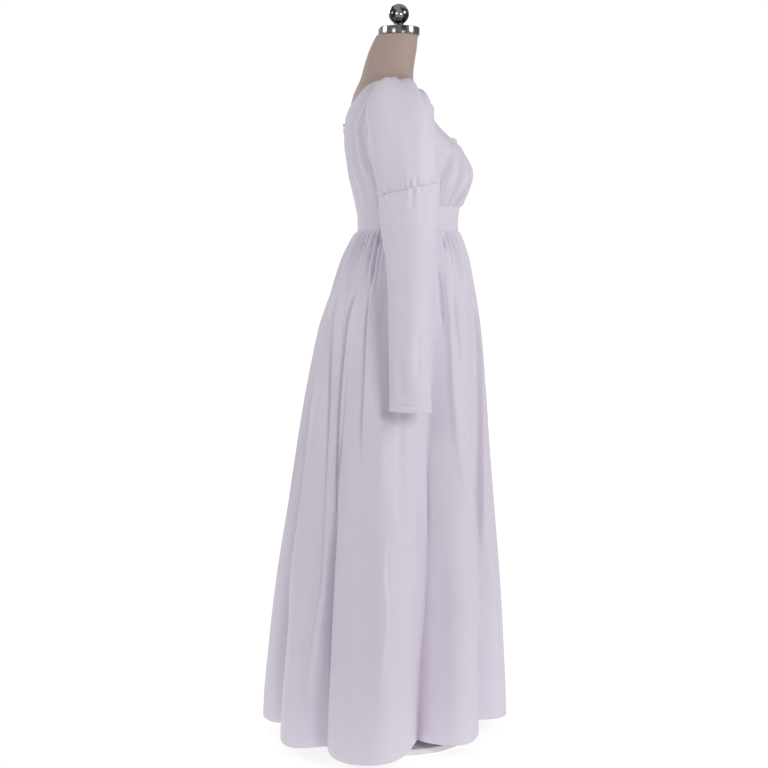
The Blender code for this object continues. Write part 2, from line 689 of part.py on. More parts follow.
def helper(name, bm):
    """A hidden solid that a Boolean adds or takes away."""
    mesh = bpy.data.meshes.new(name)
    bmesh.ops.recalc_face_normals(bm, faces=bm.faces)
    bm.to_mesh(mesh)
    bm.free()
    made = bpy.data.objects.new(name, mesh)
    made.hide_render = True
    made.display_type = "WIRE"
    tools.objects.link(made)
    return made


def combine(target, operation, other):
    change = target.modifiers.new(other.name, "BOOLEAN")
    change.operation = operation
    change.solver = "EXACT"
    change.object = other


lug = (TAB_WIDTH / 2 + EYE_CLEARANCE, wide / 2)
slider = keep("zip_slider", block((face_x - thick, face_x), (-wide / 2, wide / 2),
                                  (ZIP_HEIGHT - tall / 2, ZIP_HEIGHT + tall / 2)), DARK)
lug_x = (pin_x - PIN_RADIUS - 0.0006, face_x - thick / 2)
lug_z = (pin_height - PIN_RADIUS - 0.0006, pin_height + PIN_RADIUS + 0.0006)
combine(slider, "UNION", helper("lug_left", block(lug_x, lug, lug_z)))
combine(slider, "UNION", helper("lug_right", block(lug_x, (-lug[1], -lug[0]), lug_z)))
combine(slider, "UNION", helper("pin", rod(PIN_RADIUS, (-lug[0] - 0.0003, lug[0] + 0.0003), 16, pin_x, pin_height)))

tab = keep("zip_pull", rod(EYE_RADIUS, (-TAB_WIDTH / 2, TAB_WIDTH / 2), 24, pin_x, pin_height), DARK)
combine(tab, "UNION", helper("tab_plate", block(
    (pin_x - TAB_THICKNESS / 2, pin_x + TAB_THICKNESS / 2), (-TAB_WIDTH / 2, TAB_WIDTH / 2),
    (pin_height - TAB_LENGTH, pin_height - EYE_RADIUS / 2))))
combine(tab, "DIFFERENCE", helper("tab_eye", rod(
    PIN_RADIUS + EYE_CLEARANCE, (-TAB_WIDTH, TAB_WIDTH), 24, pin_x, pin_height)))
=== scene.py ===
# %% [markdown]
# # A Regency gown on its dress form
#
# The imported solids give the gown's true shape. Here each cloth piece becomes a thin shell on the form
# of its solid, with its gathers, folds and creases drawn by a function of two parameters. *Turn* is the
# angle round the body: 0 at the centre front and half a turn at the centre back. *Share* runs round a
# piece, and heights are in metres above the floor.

# %% Start
import math
from functools import partialmethod
from math import pi, radians, tau

import bpy
import numpy as np
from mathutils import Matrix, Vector


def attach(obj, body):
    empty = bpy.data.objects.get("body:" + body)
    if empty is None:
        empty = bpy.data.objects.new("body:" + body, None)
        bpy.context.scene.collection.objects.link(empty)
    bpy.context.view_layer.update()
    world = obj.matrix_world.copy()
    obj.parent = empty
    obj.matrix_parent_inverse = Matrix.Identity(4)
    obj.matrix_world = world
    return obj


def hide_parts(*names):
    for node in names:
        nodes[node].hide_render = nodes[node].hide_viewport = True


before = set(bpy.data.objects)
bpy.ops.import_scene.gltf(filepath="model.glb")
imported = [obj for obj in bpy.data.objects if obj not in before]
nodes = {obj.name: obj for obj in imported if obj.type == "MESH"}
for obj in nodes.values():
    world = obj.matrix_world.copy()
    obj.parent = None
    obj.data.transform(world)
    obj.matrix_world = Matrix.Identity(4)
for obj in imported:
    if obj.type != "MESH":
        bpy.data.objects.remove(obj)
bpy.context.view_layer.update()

scene = bpy.context.scene

# %% [markdown]
# ## Sizes
#
# In metres, and the same as in the solids, so that each piece lies on its own solid.

# %% Sizes
CLOTH = 0.0009
REST = 0.0009
EASE = 0.0030
STAND_OFF = 0.0075
SEAM_GAP = 0.0003
BAND_BOTTOM = 1.048
BAND_MIDDLE = 1.075
BAND_TOP = 1.097
SHOULDER_TIP = 1.318
UNDERARM = 1.168
SIDE_X = -0.0065
ARMHOLE_HALF_X = 0.045
NECK_TOP = 1.439
SEAM_HEIGHT = 1.124
SEAM_SLANT = 0.209
PUFF_CORNER = 0.018
CUFF_SLANT = -0.030
ZIP_HEIGHT = 1.2585
HEM = 0.030
HEM_TURNED = 0.024
CUFF_TURNED = 0.012


def smooth(at, knots, values):
    """Value at a place on a smooth curve through the knots. The slope at a knot is the harmonic mean
    of the slopes beside it, or zero where they differ in sign, so the curve never overshoots."""
    knots = np.asarray(knots, float)
    values = np.asarray(values, float)
    at = np.clip(at, knots[0], knots[-1])
    step = np.diff(knots)
    rise = np.diff(values) / step
    slope = np.zeros(len(values))
    slope[0] = rise[0]
    slope[-1] = rise[-1]
    product = rise[:-1] * rise[1:]
    total = rise[:-1] + rise[1:]
    slope[1:-1] = np.where(product > 0, 2 * product / np.where(total == 0, 1, total), 0)
    i = np.clip(np.searchsorted(knots, at, side="right") - 1, 0, len(step) - 1)
    f = (at - knots[i]) / step[i]
    start = values[i] * (1 + 2 * f) * (1 - f) ** 2 + slope[i] * step[i] * f * (1 - f) ** 2
    end = values[i + 1] * f**2 * (3 - 2 * f) - slope[i + 1] * step[i] * f**2 * (1 - f)
    return start + end


class Table:
    """Rows of sizes with named columns. Each column is read as a smooth curve over the first one."""

    def __init__(self, columns, rows):
        self.values = dict(zip(columns.split(), np.array(rows, float).T))
        self.knots = self.values[columns.split()[0]]

    def read(self, name, at):
        return smooth(at, self.knots, self.values[name])

    def row(self, at):
        """All the columns but the first."""
        return [self.read(name, at) for name in list(self.values)[1:]]


def bump(distance, width):
    """A hill that is 1 in the middle and fades over the width: exp(-(d / w)^2)."""
    return np.exp(-((distance / width) ** 2))


def ramp(at, start, end):
    """0 before the start, 1 after the end and a smooth rise between: 3f^2 - 2f^3."""
    f = np.clip((at - start) / (end - start), 0, 1)
    return f * f * (3 - 2 * f)


def kick(at, peak):
    """Zero with no slope at the start, 1 at the peak, then fading: s^2 exp(2 - 2s)."""
    share = np.clip(at, 0, None) / peak
    return share**2 * np.exp(2 * (1 - share))


def wander(at, seed, octaves=4, base=1.0):
    """A smooth uneven wave of one parameter: a sum of sines whose rates and phases come from a seed."""
    made = np.random.default_rng(int(seed))
    total = 0 * np.asarray(at, float)
    for octave in range(octaves):
        rate = base * 1.7**octave * made.uniform(0.85, 1.15)
        total = total + np.sin(tau * (rate * at + made.uniform())) / 1.5**octave
    return total / 1.6


# %% [markdown]
# ## The form's outline
#
# One row for each level. A level section is a superellipse:
# $x = m + r\,\mathrm{sgn}(\cos t)|\cos t|^{2/q}$ and $y = w\,\mathrm{sgn}(\sin t)|\sin t|^{2/q}$.

# %% Outline of the form
TORSO = Table("height front back half_width squareness middle", [
    (0.800, 0.084, -0.092, 0.120, 2.2, SIDE_X),
    (0.850, 0.092, -0.104, 0.130, 2.2, SIDE_X),
    (0.900, 0.096, -0.104, 0.130, 2.2, SIDE_X),
    (0.970, 0.100, -0.088, 0.122, 2.2, SIDE_X),
    (1.048, 0.1165, -0.0805, 0.124, 2.3, SIDE_X),
    (1.075, 0.1175, -0.0810, 0.128, 2.3, SIDE_X),
    (1.097, 0.1185, -0.0835, 0.131, 2.3, SIDE_X),
    (1.130, 0.1200, -0.0895, 0.139, 2.4, SIDE_X),
    (1.165, 0.1190, -0.0975, 0.146, 2.5, SIDE_X),
    (1.195, 0.1130, -0.1010, 0.152, 2.6, SIDE_X),
    (1.222, 0.0990, -0.1035, 0.158, 2.8, SIDE_X),
    (1.240, 0.0850, -0.1035, 0.161, 2.8, SIDE_X),
    (1.262, 0.0690, -0.1020, 0.165, 2.8, SIDE_X),
    (1.285, 0.0560, -0.0990, 0.169, 2.8, SIDE_X),
    (1.300, 0.0490, -0.0965, 0.1685, 2.75, SIDE_X),
    (1.309, 0.0450, -0.0945, 0.1645, 2.65, SIDE_X),
    (1.318, 0.0410, -0.0920, 0.1550, 2.55, SIDE_X),
    (1.327, 0.0370, -0.0885, 0.1380, 2.45, SIDE_X),
    (1.337, 0.0335, -0.0845, 0.1130, 2.35, SIDE_X),
    (1.347, 0.0305, -0.0800, 0.0900, 2.2, -0.0120),
    (1.358, 0.0290, -0.0760, 0.0730, 2.1, -0.0170),
    (1.375, 0.0300, -0.0715, 0.0620, 2.0, -0.0190),
    (1.392, 0.0325, -0.0665, 0.0560, 2.0, -0.0170),
    (1.415, 0.0360, -0.0580, 0.0500, 2.0, -0.0110),
    (1.439, 0.0385, -0.0460, 0.0430, 2.0, -0.0040),
])
BUST_RISE = 0.033
BUST_TURN = radians(33)
BUST_SPREAD = radians(21)
BUST_HEIGHT = 1.156
BUST_TALL = 0.047


def section(turn, front, back, half_width, squareness, middle):
    """X and Y of the superellipse. It has a reach of its own to the front and to the back."""
    c = np.cos(turn)
    s = np.sin(turn)
    reach = np.where(c > 0, front - middle, middle - back)
    x = middle + reach * np.sign(c) * np.abs(c) ** (2 / squareness)
    y = half_width * np.sign(s) * np.abs(s) ** (2 / squareness)
    return x, y


def wrapped(turn):
    """The same turn between minus half a turn and half a turn."""
    return np.angle(np.exp(1j * turn))


def body(turn, height):
    """A point of the form: its level section, with a hill over each breast along X."""
    x, y = section(turn, *TORSO.row(height))
    away = wrapped(turn)
    breasts = bump(away - BUST_TURN, BUST_SPREAD) + bump(away + BUST_TURN, BUST_SPREAD)
    x = x + BUST_RISE * breasts * bump(height - BUST_HEIGHT, BUST_TALL)
    return np.stack([x, y, height + 0 * x], axis=-1)


def turn_at_x(x, height):
    """The turn at which the section has this X: cos t = sgn(x - m) (|x - m| / r)^(q / 2)."""
    front, back, _, squareness, middle = TORSO.row(height)
    reach = np.where(x > middle, front - middle, middle - back)
    share = np.clip(np.abs(x - middle) / reach, 0, 1)
    return np.arccos(np.sign(x - middle) * share ** (squareness / 2))


def length(vectors):
    return np.linalg.norm(vectors, axis=-1)


def unit(vectors):
    return vectors / np.maximum(length(vectors)[..., None], 1e-12)


def normal_of(surface, u, v, step=2e-4):
    """Unit normal of a surface of two parameters: the cross product of its small steps. The two steps
    across u count alike, so the normal halves the angle of a sharp valley."""
    here = surface(u, v)
    steps = [surface(u + step, v) - here, here - surface(u - step, v)]
    along_u = sum(unit(side) for side in steps)
    along_v = surface(u, v + step) - surface(u, v - step)
    return unit(np.cross(along_u, along_v))


def air(turn, height):
    """The gap between form and cloth: small where it rests, and wide where it spans the breastbone."""
    levels = [BAND_BOTTOM, BAND_MIDDLE, BAND_TOP, 1.140, 1.280, SHOULDER_TIP, NECK_TOP]
    rest = smooth(height, levels, [REST, REST, 2 * REST, EASE, EASE, 2 * REST, 2 * REST])
    return rest + STAND_OFF * bump(wrapped(turn), radians(30)) * bump(height - 1.219, 0.026)


def on_body(turn, height, lift):
    """A point this far out from the inner face of plain cloth that hangs on the form."""
    reach = air(turn, height) + lift
    return body(turn, height) + normal_of(body, turn, height) * np.asarray(reach)[..., None]


ring = body(np.linspace(0, tau, 721), np.full(721, BUST_HEIGHT))
print("bust, round the form:", round(float(length(np.diff(ring, axis=0)).sum()), 3), "m")

# %% [markdown]
# ## Making the meshes
#
# A piece is a grid of points, made thick inwards by a Solidify modifier. Only the skirt stays one face,
# with its hem turned up.

# %% Mesh helpers
ROOT = "gown_on_form"


def add(name, data):
    """A new object at the origin."""
    made = bpy.data.objects.new(name, data)
    scene.collection.objects.link(made)
    return made


def grid_mesh(name, points, closed=False, cells=None, face_in=False):
    """A mesh through a grid of points, rows by columns, with a UV map in metres along both ways."""
    rows, columns = points.shape[:2]
    across = columns if closed else columns - 1
    i, j = np.meshgrid(np.arange(rows - 1), np.arange(across), indexing="ij")
    if cells is not None:
        i, j = i[cells], j[cells]
    i, j = i.ravel(), j.ravel()
    k = (j + 1) % columns
    quads = np.stack([i * columns + j, i * columns + k, (i + 1) * columns + k, (i + 1) * columns + j], -1)
    if face_in:
        quads = quads[:, ::-1]
    used, renamed = np.unique(quads, return_inverse=True)
    quads = renamed.reshape(quads.shape)
    flat = points.reshape(-1, 3)[used]
    mesh = bpy.data.meshes.new(name)
    mesh.from_pydata(flat, [], quads.tolist())
    steps = length(np.diff(points, axis=1))
    u = np.concatenate([np.zeros((rows, 1)), np.cumsum(steps, axis=1)], axis=1)
    rises = length(np.diff(points, axis=0))
    v = np.concatenate([np.zeros((1, columns)), np.cumsum(rises, axis=0)], axis=0)
    v = v.mean(axis=1, keepdims=True) + 0 * u
    places = np.stack([u, v], -1).reshape(-1, 2)[used]
    layer = mesh.uv_layers.new(name="metres")
    layer.data.foreach_set("uv", places[quads.ravel()].ravel())
    mesh.polygons.foreach_set("use_smooth", np.ones(len(quads), bool))
    mesh.update()
    return add(name, mesh)


def stand_for(made, node, material):
    """Gives a piece its look, and puts it in the place of a solid."""
    made.data.materials.append(material)
    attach(made, ROOT)
    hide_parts(node)


def cloth(node, points, flat, held, material, thick=True, **grid):
    """One piece of cloth that stands for a solid. The grid's points are its outer face."""
    made = grid_mesh(node + "_crepe", points, **grid)
    if thick:
        wall = made.modifiers.new("thickness", "SOLIDIFY")
        wall.thickness = CLOTH
        wall.offset = -1
    stand_for(made, node, material)

# %% [markdown]
# ## Looks
#
# One small class writes shader maths as plain formulas. The crepe is matte, slightly lilac white, with
# soft small wrinkles; its stitched lines are drawn from the UV map, which is in metres.

# %% Shader maths
class Value:
    """A socket in a node tree. Plus, minus, times and so on add Math nodes."""

    def __init__(self, tree, socket):
        self.tree = tree
        self.socket = socket

    def math(self, operation, *others):
        node = self.tree.nodes.new("ShaderNodeMath")
        node.operation = operation
        for slot, value in zip(node.inputs, (self, *others)):
            feed(value, slot)
        return Value(self.tree, node.outputs[0])

    __add__ = partialmethod(math, "ADD")
    __sub__ = partialmethod(math, "SUBTRACT")
    __mul__ = partialmethod(math, "MULTIPLY")
    __truediv__ = partialmethod(math, "DIVIDE")
    abs = partialmethod(math, "ABSOLUTE")

    def __rsub__(self, other):
        return (self * -1.0) + other

    def hill(self, width):
        """1 at zero and 0 a width away: max(0, 1 - |x| / w)."""
        return (1.0 - self.abs() / width).math("MAXIMUM", 0.0)


def feed(value, socket):
    """Links a value to a socket, or sets the socket to a number or colour."""
    if isinstance(value, Value):
        value.tree.links.new(value.socket, socket)
    else:
        socket.default_value = value


class Look:
    """A material with its Principled shader, and one method that adds any other node."""

    def __init__(self, name, colour, roughness, **constants):
        self.material = bpy.data.materials.new(name)
        self.material.use_nodes = True
        self.tree = self.material.node_tree
        self.shader = self.tree.nodes["Principled BSDF"]
        self.set("Base Color", (*colour, 1.0))
        self.set("Roughness", roughness)
        for key, value in constants.items():
            self.set(key.replace("_", " "), value)

    def set(self, name, value):
        feed(value, self.shader.inputs[name])

    def node(self, kind, output=0, **inputs):
        made = self.tree.nodes.new("ShaderNode" + kind)
        for key, value in inputs.items():
            feed(value, made.inputs[key])
        return Value(self.tree, made.outputs[output])

    def place(self):
        """Object coordinates, in metres."""
        return self.node("TexCoord", "Object")

    def metres(self):
        """The UV map: distances along both ways of a grid."""
        uv = self.node("UVMap")
        uv.socket.node.uv_map = "metres"
        return uv

    def x_and_y(self, vector):
        """The first two parts of a vector."""
        return [self.node("SeparateXYZ", axis, Vector=vector) for axis in "XY"]

    def noise(self, scale, detail=2.0, rough=0.5, vector=None):
        vector = vector or self.place()
        return self.node("TexNoise", Vector=vector, Scale=scale, Detail=detail, Roughness=rough)

    def tint(self, factor, one, two):
        """From one colour to the other. Sockets 6, 7 and 2 are the node's two colours and its result."""
        mix = self.tree.nodes.new("ShaderNodeMix")
        mix.data_type = "RGBA"
        feed(factor, mix.inputs[0])
        mix.inputs[6].default_value = (*one, 1.0)
        mix.inputs[7].default_value = (*two, 1.0)
        return Value(self.tree, mix.outputs[2])

    def relief(self, height, strength, distance):
        self.set("Normal", self.node("Bump", Height=height, Strength=strength, Distance=distance))
        return self.material


WHITE = (0.775, 0.720, 0.822)
SHADE = (0.725, 0.668, 0.765)
STITCH = 0.0045


def crepe(name, *lines):
    """White crepe. Each line is a row of stitches across V, this many metres from the first edge."""
    look = Look(name, WHITE, 0.86, Sheen_Weight=0.06, Sheen_Roughness=0.5, Specular_IOR_Level=0.22)
    mottle = look.noise(7.0, 3.0, 0.55)
    look.set("Base Color", look.tint(mottle, WHITE, SHADE))
    height = look.noise(38.0, 3.0, 0.55) * 0.8 + look.noise(260.0, 2.0, 0.6) * 0.10
    u, v = look.x_and_y(look.metres())
    for line in lines:
        dash = (u / STITCH).math("FRACT")
        stitch = (v - line).hill(0.0009) * (dash - 0.5).hill(0.42)
        groove = (v - line).hill(0.0028)
        height = height - groove * 0.55 + stitch * 0.25
    return look.relief(height, 0.30, 0.0022)


plain_crepe = crepe("crepe")
hemmed_crepe = crepe("crepe_hemmed", HEM_TURNED)
cuffed_crepe = crepe("crepe_cuffed", CUFF_TURNED)

cover = Look("form_cover", (0.470, 0.362, 0.322), 0.78, Sheen_Weight=0.05, Specular_IOR_Level=0.25)
knit = cover.noise(900.0, 1.0) * 0.5 + cover.noise(30.0, 2.0) * 0.3
form_cover = cover.relief(knit, 0.12, 0.0010)
ball_look = Look("ball_chrome", (0.30, 0.29, 0.30), 0.08, Metallic=1.0)
# Painted reflections: dark and light blotches in the ball's colour stand in for the studio's reflections
# and highlights on the chrome.
painted_reflection_blotches = ball_look.noise(46.0, 1.0)
ball_look.set("Base Color", ball_look.tint((painted_reflection_blotches - 0.44) * 9.0, (0.07, 0.06, 0.08), (0.60, 0.56, 0.60)))
ball_chrome = ball_look.material
cap_look = Look("cap_chrome", (0.30, 0.30, 0.31), 0.16, Metallic=1.0)
# Painted reflections: dark and light streaks up the cap's colour stand in for the studio's reflections in
# its brushed chrome.
squeezed = cap_look.node("Mapping", Vector=cap_look.place(), Scale=(46.0, 46.0, 2.0))
painted_reflection_streaks = cap_look.noise(1.0, 2.0, 0.6, squeezed)
cap_look.set("Base Color", cap_look.tint((painted_reflection_streaks - 0.38) * 3.6, (0.10, 0.10, 0.11), (0.74, 0.73, 0.72)))
chrome = cap_look.material
steel = Look("stand_steel", (0.56, 0.56, 0.58), 0.32, Metallic=1.0).material
paint = Look("stand_paint", (0.86, 0.86, 0.87), 0.45).material
zip_metal = Look("zip_metal", (0.10, 0.10, 0.11), 0.38, Metallic=1.0).material
zip_tape = Look("zip_tape", (0.70, 0.66, 0.75), 0.80).material

for name, look in {"form_body": form_cover, "form_cap": chrome, "form_finial": ball_chrome,
                   "stand_pole": steel, "stand_base": paint, "zip_slider": zip_metal,
                   "zip_pull": zip_metal}.items():
    mesh = nodes[name].data
    mesh.materials.clear()
    mesh.materials.append(look)
print("looks:", len(bpy.data.materials))

# %% [markdown]
# ## Bodice
#
# *Row* runs up the bodice and *column* across it, as on the solids: rows 0 to 2 lie below the armhole,
# rows 2 to 22 beside it. The front's centre is 20 columns either way and each strap is 4 more.

# %% Bodice surfaces
BELOW = 2
BESIDE = 20
HALF = 20
STRAP = 4
BACK = 6
LAST = BELOW + BESIDE
FRONT_NECK = 10
BACK_NECK = 12
OUTER = 0.0018
BODICE_BOTTOM = BAND_TOP + SEAM_GAP

FRONT_EDGE = Table("share height degrees", [
    (0.00, 1.2240, 25.0),
    (0.22, 1.2500, 26.5),
    (0.46, 1.2790, 28.5),
    (0.68, 1.3050, 34.0),
    (0.84, 1.3220, 46.0),
    (0.93, 1.3310, 63.0),
    (1.00, 1.3370, 89.9),
])
BACK_EDGE = Table("share height degrees", [
    (0.00, 1.2700, 180.0),
    (0.22, 1.2770, 166.5),
    (0.42, 1.2900, 151.5),
    (0.60, 1.3050, 137.0),
    (0.75, 1.3210, 128.0),
    (0.89, 1.3330, 113.0),
    (1.00, 1.3370, 90.1),
])


def armhole(angle, shrink=0.0):
    """The armhole's edge, an ellipse in X and height. The angle is 0 at the shoulder."""
    middle = (SHOULDER_TIP + UNDERARM) / 2
    x = SIDE_X + (ARMHOLE_HALF_X - shrink) * np.sin(angle)
    return x, middle + ((SHOULDER_TIP - UNDERARM) / 2 - shrink) * np.cos(angle)


def side_edge(row, side):
    """Turn and height of the side seam, then of the armhole. side is 1 for the front."""
    angle = pi * (1 - np.clip(row - BELOW, 0, BESIDE) / BESIDE)
    x, height = armhole(angle)
    reach = np.where(row < BELOW, 0.0001, np.maximum(np.abs(x - SIDE_X), 0.0001))
    height = np.where(row < BELOW, BODICE_BOTTOM + (UNDERARM - BODICE_BOTTOM) * row / BELOW, height)
    return turn_at_x(SIDE_X + side * reach, height), height


def front_place(row, column):
    """Turn and height of the front at a row and column."""
    share = np.clip((row - FRONT_NECK) / (LAST - FRONT_NECK), 0, 1)
    top = FRONT_EDGE.read("height", 0.0)
    low = BODICE_BOTTOM + (top - BODICE_BOTTOM) * row / FRONT_NECK
    height = np.where(row > FRONT_NECK, FRONT_EDGE.read("height", share), low)
    turn = np.where(row > FRONT_NECK, np.radians(FRONT_EDGE.read("degrees", share)),
                    np.radians(smooth(low, [BODICE_BOTTOM, 1.160, top], [40.0, 38.0, 25.0])))
    across = np.clip(np.abs(column) / HALF, 0, 1)
    drop = 0.005 * np.clip(row / FRONT_NECK, 0, 1) * (1 - across**4)
    beyond = np.clip(np.abs(column) - HALF, 0, STRAP) / STRAP
    side_turn, side_height = side_edge(row, 1)
    place = turn * across + (side_turn - turn) * beyond
    return np.sign(column) * place, height - drop + (side_height - height) * beyond


def back_place(row, column):
    """Turn and height of a back. Column 0 is the centre back and BACK the side."""
    share = np.clip((row - BACK_NECK) / (LAST - BACK_NECK), 0, 1)
    top = BACK_EDGE.read("height", 0.0)
    low = BODICE_BOTTOM + (top - BODICE_BOTTOM) * row / BACK_NECK
    height = np.where(row > BACK_NECK, BACK_EDGE.read("height", share), low)
    turn = np.minimum(np.radians(BACK_EDGE.read("degrees", share)), pi - 0.0001)
    side_turn, side_height = side_edge(row, -1)
    across = column / BACK
    return turn + (side_turn - turn) * across, height + (side_height - height) * across


def pleat(phase, sharp=0.75):
    """A gather: round on top and narrow in its valley, from 0 to 1: |cos(phase / 2)|^p."""
    return np.abs(np.cos(phase / 2)) ** sharp


def creases(u, v, rows):
    """Soft lines across a piece. A row is (u at v0, v0, u at v1, v1, width in u, depth)."""
    total = 0 * u
    for u0, v0, u1, v1, width, depth in rows:
        f = (v - v0) / (v1 - v0)
        middle = u0 + (u1 - u0) * f
        fade = ramp(f, -0.12, 0.25) * (1 - ramp(f, 0.75, 1.12))
        total = total + depth * bump(u - middle, width) * fade
    return total


# %% [markdown]
# The front is drawn in by many small uneven gathers, deepest at the waistband and under the neckline's
# casing, and nearly smoothed out over the bust. Long soft folds fall between them.

# %% Bodice front
# Place along the cloth, in columns, and row at each end, width, depth
FRONT_FOLDS = [
    (-32.0, 0.4, -30.0, 7.6, 1.0, 0.0022), (-29.0, 0.2, -26.8, 8.0, 1.0, -0.0036),
    (-26.4, 0.1, -24.4, 8.6, 0.9, 0.003), (-24.2, 0.2, -21.8, 9.0, 0.9, -0.0042),
    (-21.8, 0.2, -19.4, 9.0, 0.9, 0.0034), (-19.6, 0.2, -17.2, 9.0, 0.8, -0.0036),
    (-17.4, 0.0, -15.0, 9.3, 0.8, 0.003), (-15.0, 0.2, -12.8, 9.0, 0.8, -0.0042),
    (-10.4, 0.1, -9.0, 9.4, 0.7, 0.0026), (-8.6, 0.3, -7.6, 8.4, 0.7, -0.0034),
    (-6.4, 0.1, -5.6, 9.6, 0.9, 0.0022), (-3.8, 0.2, -3.2, 8.4, 0.8, -0.0032),
    (-1.8, 0.1, -1.6, 9.2, 0.7, 0.0018), (0.8, 0.1, 0.4, 9.0, 0.9, -0.0024),
    (3.0, 0.2, 2.4, 8.6, 0.8, 0.0022), (5.2, 0.0, 4.4, 9.0, 0.8, -0.0034),
    (7.6, 0.2, 6.6, 9.4, 0.9, 0.0024), (10.0, 0.3, 8.8, 8.4, 0.8, -0.0038),
    (12.2, 0.1, 10.4, 9.2, 0.8, 0.0026), (15.4, 0.1, 13.0, 9.2, 0.9, -0.0042),
    (18.0, 0.2, 15.8, 8.8, 0.8, 0.0028), (20.6, 0.2, 18.2, 8.8, 0.9, -0.004),
    (23.2, 0.2, 20.8, 8.8, 0.9, 0.003), (25.8, 0.2, 23.4, 8.6, 0.9, -0.0034),
    (28.6, 0.1, 26.8, 8.0, 0.9, 0.0028), (31.4, 0.4, 29.6, 7.4, 1.0, -0.0026),
]
STRAP_WIDE = 5.0
LOW_GATHERS = 12.5
HIGH_GATHERS = 15.5


def along_cloth(column):
    """The column measured along the cloth: a column of the strap is this many times as wide."""
    reach = np.abs(column)
    return np.sign(column) * (np.minimum(reach, HALF) + STRAP_WIDE * np.clip(reach - HALF, 0, STRAP))


def front_lift(row, column):
    """How far the front's outer face stands off: gathers + long folds + the casing at the neckline."""
    wide = along_cloth(column)
    s = wide / HALF
    strap = ramp(np.abs(s), 0.90, 1.04)
    within = (1 - ramp(np.abs(s), 1.45, 1.85)) * (1 - strap * ramp(row, 7.4, 9.8))
    low = smooth(row, [0, 0.4, 1.6, 3.6, 6.0], [0.0008, 0.0044, 0.0042, 0.0022, 0.0008])
    high = smooth(row, [4.0, 7.2, 8.9, 9.3, 10], [0.0, 0.0014, 0.0038, 0.0012, 0.0034])
    below = pleat(tau * (LOW_GATHERS * s + 0.55 * wander(s / 2, 3)), 0.9)
    above = pleat(tau * (HIGH_GATHERS * s + 0.50 * wander(s / 2, 8)), 0.9)
    uneven = 1 + 0.45 * wander(s * 2, 5)
    gathers = (low * below * uneven + high * above * (1 + 0.3 * wander(s * 3, 6))) * within
    inside = row < FRONT_NECK + 0.01
    edge = np.where(inside, 0.0012 * bump(row - 10, 0.25), 0) * within * (1 - strap)
    tuck = -0.0012 * (1 - ramp(row, -0.25, 0))
    return OUTER + gathers + edge + tuck + creases(wide, row, FRONT_FOLDS) * within * inside


UNDER = [-0.25, -0.10]
low_rows = np.concatenate([UNDER, np.linspace(0, 9, 61)[:-1], np.linspace(9, FRONT_NECK, 15)])
strap_fine = np.linspace(HALF + STRAP, HALF, 41)[:-1]
columns_fine = np.concatenate([-strap_fine, np.linspace(-HALF, HALF, 181), strap_fine[::-1]])
column, row = np.meshgrid(columns_fine, np.append(low_rows, np.linspace(FRONT_NECK, LAST, 51)[1:]))
points = on_body(*front_place(row, column), front_lift(row, column))
middles = (column[:-1, :-1] + column[:-1, 1:]) / 2
in_neck = (row[:-1, :-1] >= FRONT_NECK - 1e-6) & (np.abs(middles) < HALF)
cloth("bodice_front", points, (0.50, 0.26), "gathered", plain_crepe, cells=~in_neck)

# %% Bodice backs
BACK_FOLDS = [
    (0.9, 0.2, 1.4, 17.5, 0.22, -0.0024), (1.5, 0.0, 2.0, 18.5, 0.2, 0.0022),
    (2.2, 0.3, 2.6, 16.0, 0.2, -0.0028), (2.9, 0.2, 3.2, 18.0, 0.22, 0.0026),
    (3.6, 0.4, 3.8, 16.0, 0.2, -0.0026), (4.3, 0.2, 4.5, 18.0, 0.24, 0.0028),
    (5.0, 0.6, 5.1, 14.0, 0.2, -0.0024), (0.4, 6.0, 0.5, 17.0, 0.24, 0.0014),
]


def back_points(side):
    """One back, on the wearer's left where side is 1 and right where it is -1."""
    column, row = np.meshgrid(np.linspace(0, BACK, 73), np.append(UNDER, np.linspace(0, LAST, 133)))
    shift = 0.25 * wander(row / LAST, 20 + side) + (0.15 if side > 0 else 0.0)
    lift = OUTER + creases(column + shift, row, BACK_FOLDS) * ramp(column, 0.05, 0.5)
    pucker = 0.0005 * (1 - ramp(row, 0, 1.2)) * np.cos(column * 9 + wander(column / 6, 31) * 3)
    turn, height = back_place(row, column)
    return on_body(side * turn, height, lift + pucker - 0.0012 * (1 - ramp(row, -0.25, 0)))


for side, word in ((1, "left"), (-1, "right")):
    cloth("bodice_back_" + word, back_points(side), (0.22, 0.26), "stretched", plain_crepe,
          face_in=side < 0)

# %% [markdown]
# The raised waistband lies flat round the underbust, open at the centre back where the zip runs. Its two
# seams draw the cloth in a little, and it creases softly at the sides.

# %% Waistband
BAND_OUT = 0.0024
# Turn and level at each end, width, depth
BAND_FOLDS = [
    (-1.3, 0.1, -1.42, 0.9, 0.05, -0.0009), (-1.72, 0.0, -1.66, 1.0, 0.06, -0.001),
    (1.36, 0.1, 1.46, 0.9, 0.05, -0.0009), (1.8, 0.0, 1.72, 1.0, 0.06, -0.0008),
    (-2.35, 0.0, -2.3, 1.0, 0.07, -0.0006), (2.5, 0.0, 2.4, 1.0, 0.06, -0.0006),
]
edge = pi - 2e-4
turn, height = np.meshgrid(np.linspace(-edge, edge, 321), np.linspace(BAND_BOTTOM, BAND_TOP, 25))
level = (height - BAND_BOTTOM) / (BAND_TOP - BAND_BOTTOM)
pull = 0.0004 * (bump(level, 0.16) + bump(level - 1, 0.16)) * np.cos(turn * 34 + 3 * wander(turn / 6, 12))
sag = creases(turn, level, BAND_FOLDS)
seams = -0.0007 * (bump(level, 0.05) + bump(level - 1, 0.05))
points = on_body(turn, height, BAND_OUT + pull + sag + seams)
cloth("waistband", points, (0.776, 0.049), "stretched", plain_crepe)

# %% [markdown]
# ## Sleeves
#
# The puff runs from the armhole out over the arm to a slanted seam: a cubic path from the armhole's edge
# to the seam's ring, $P = A(1+2t)(1-t)^2 + L\,t(1-t)^2 + B\,t^2(3-2t) - M\,t^2(1-t)$, with a flare at the
# shoulder's two corners. The lower sleeve hangs straight from there to the cuff.

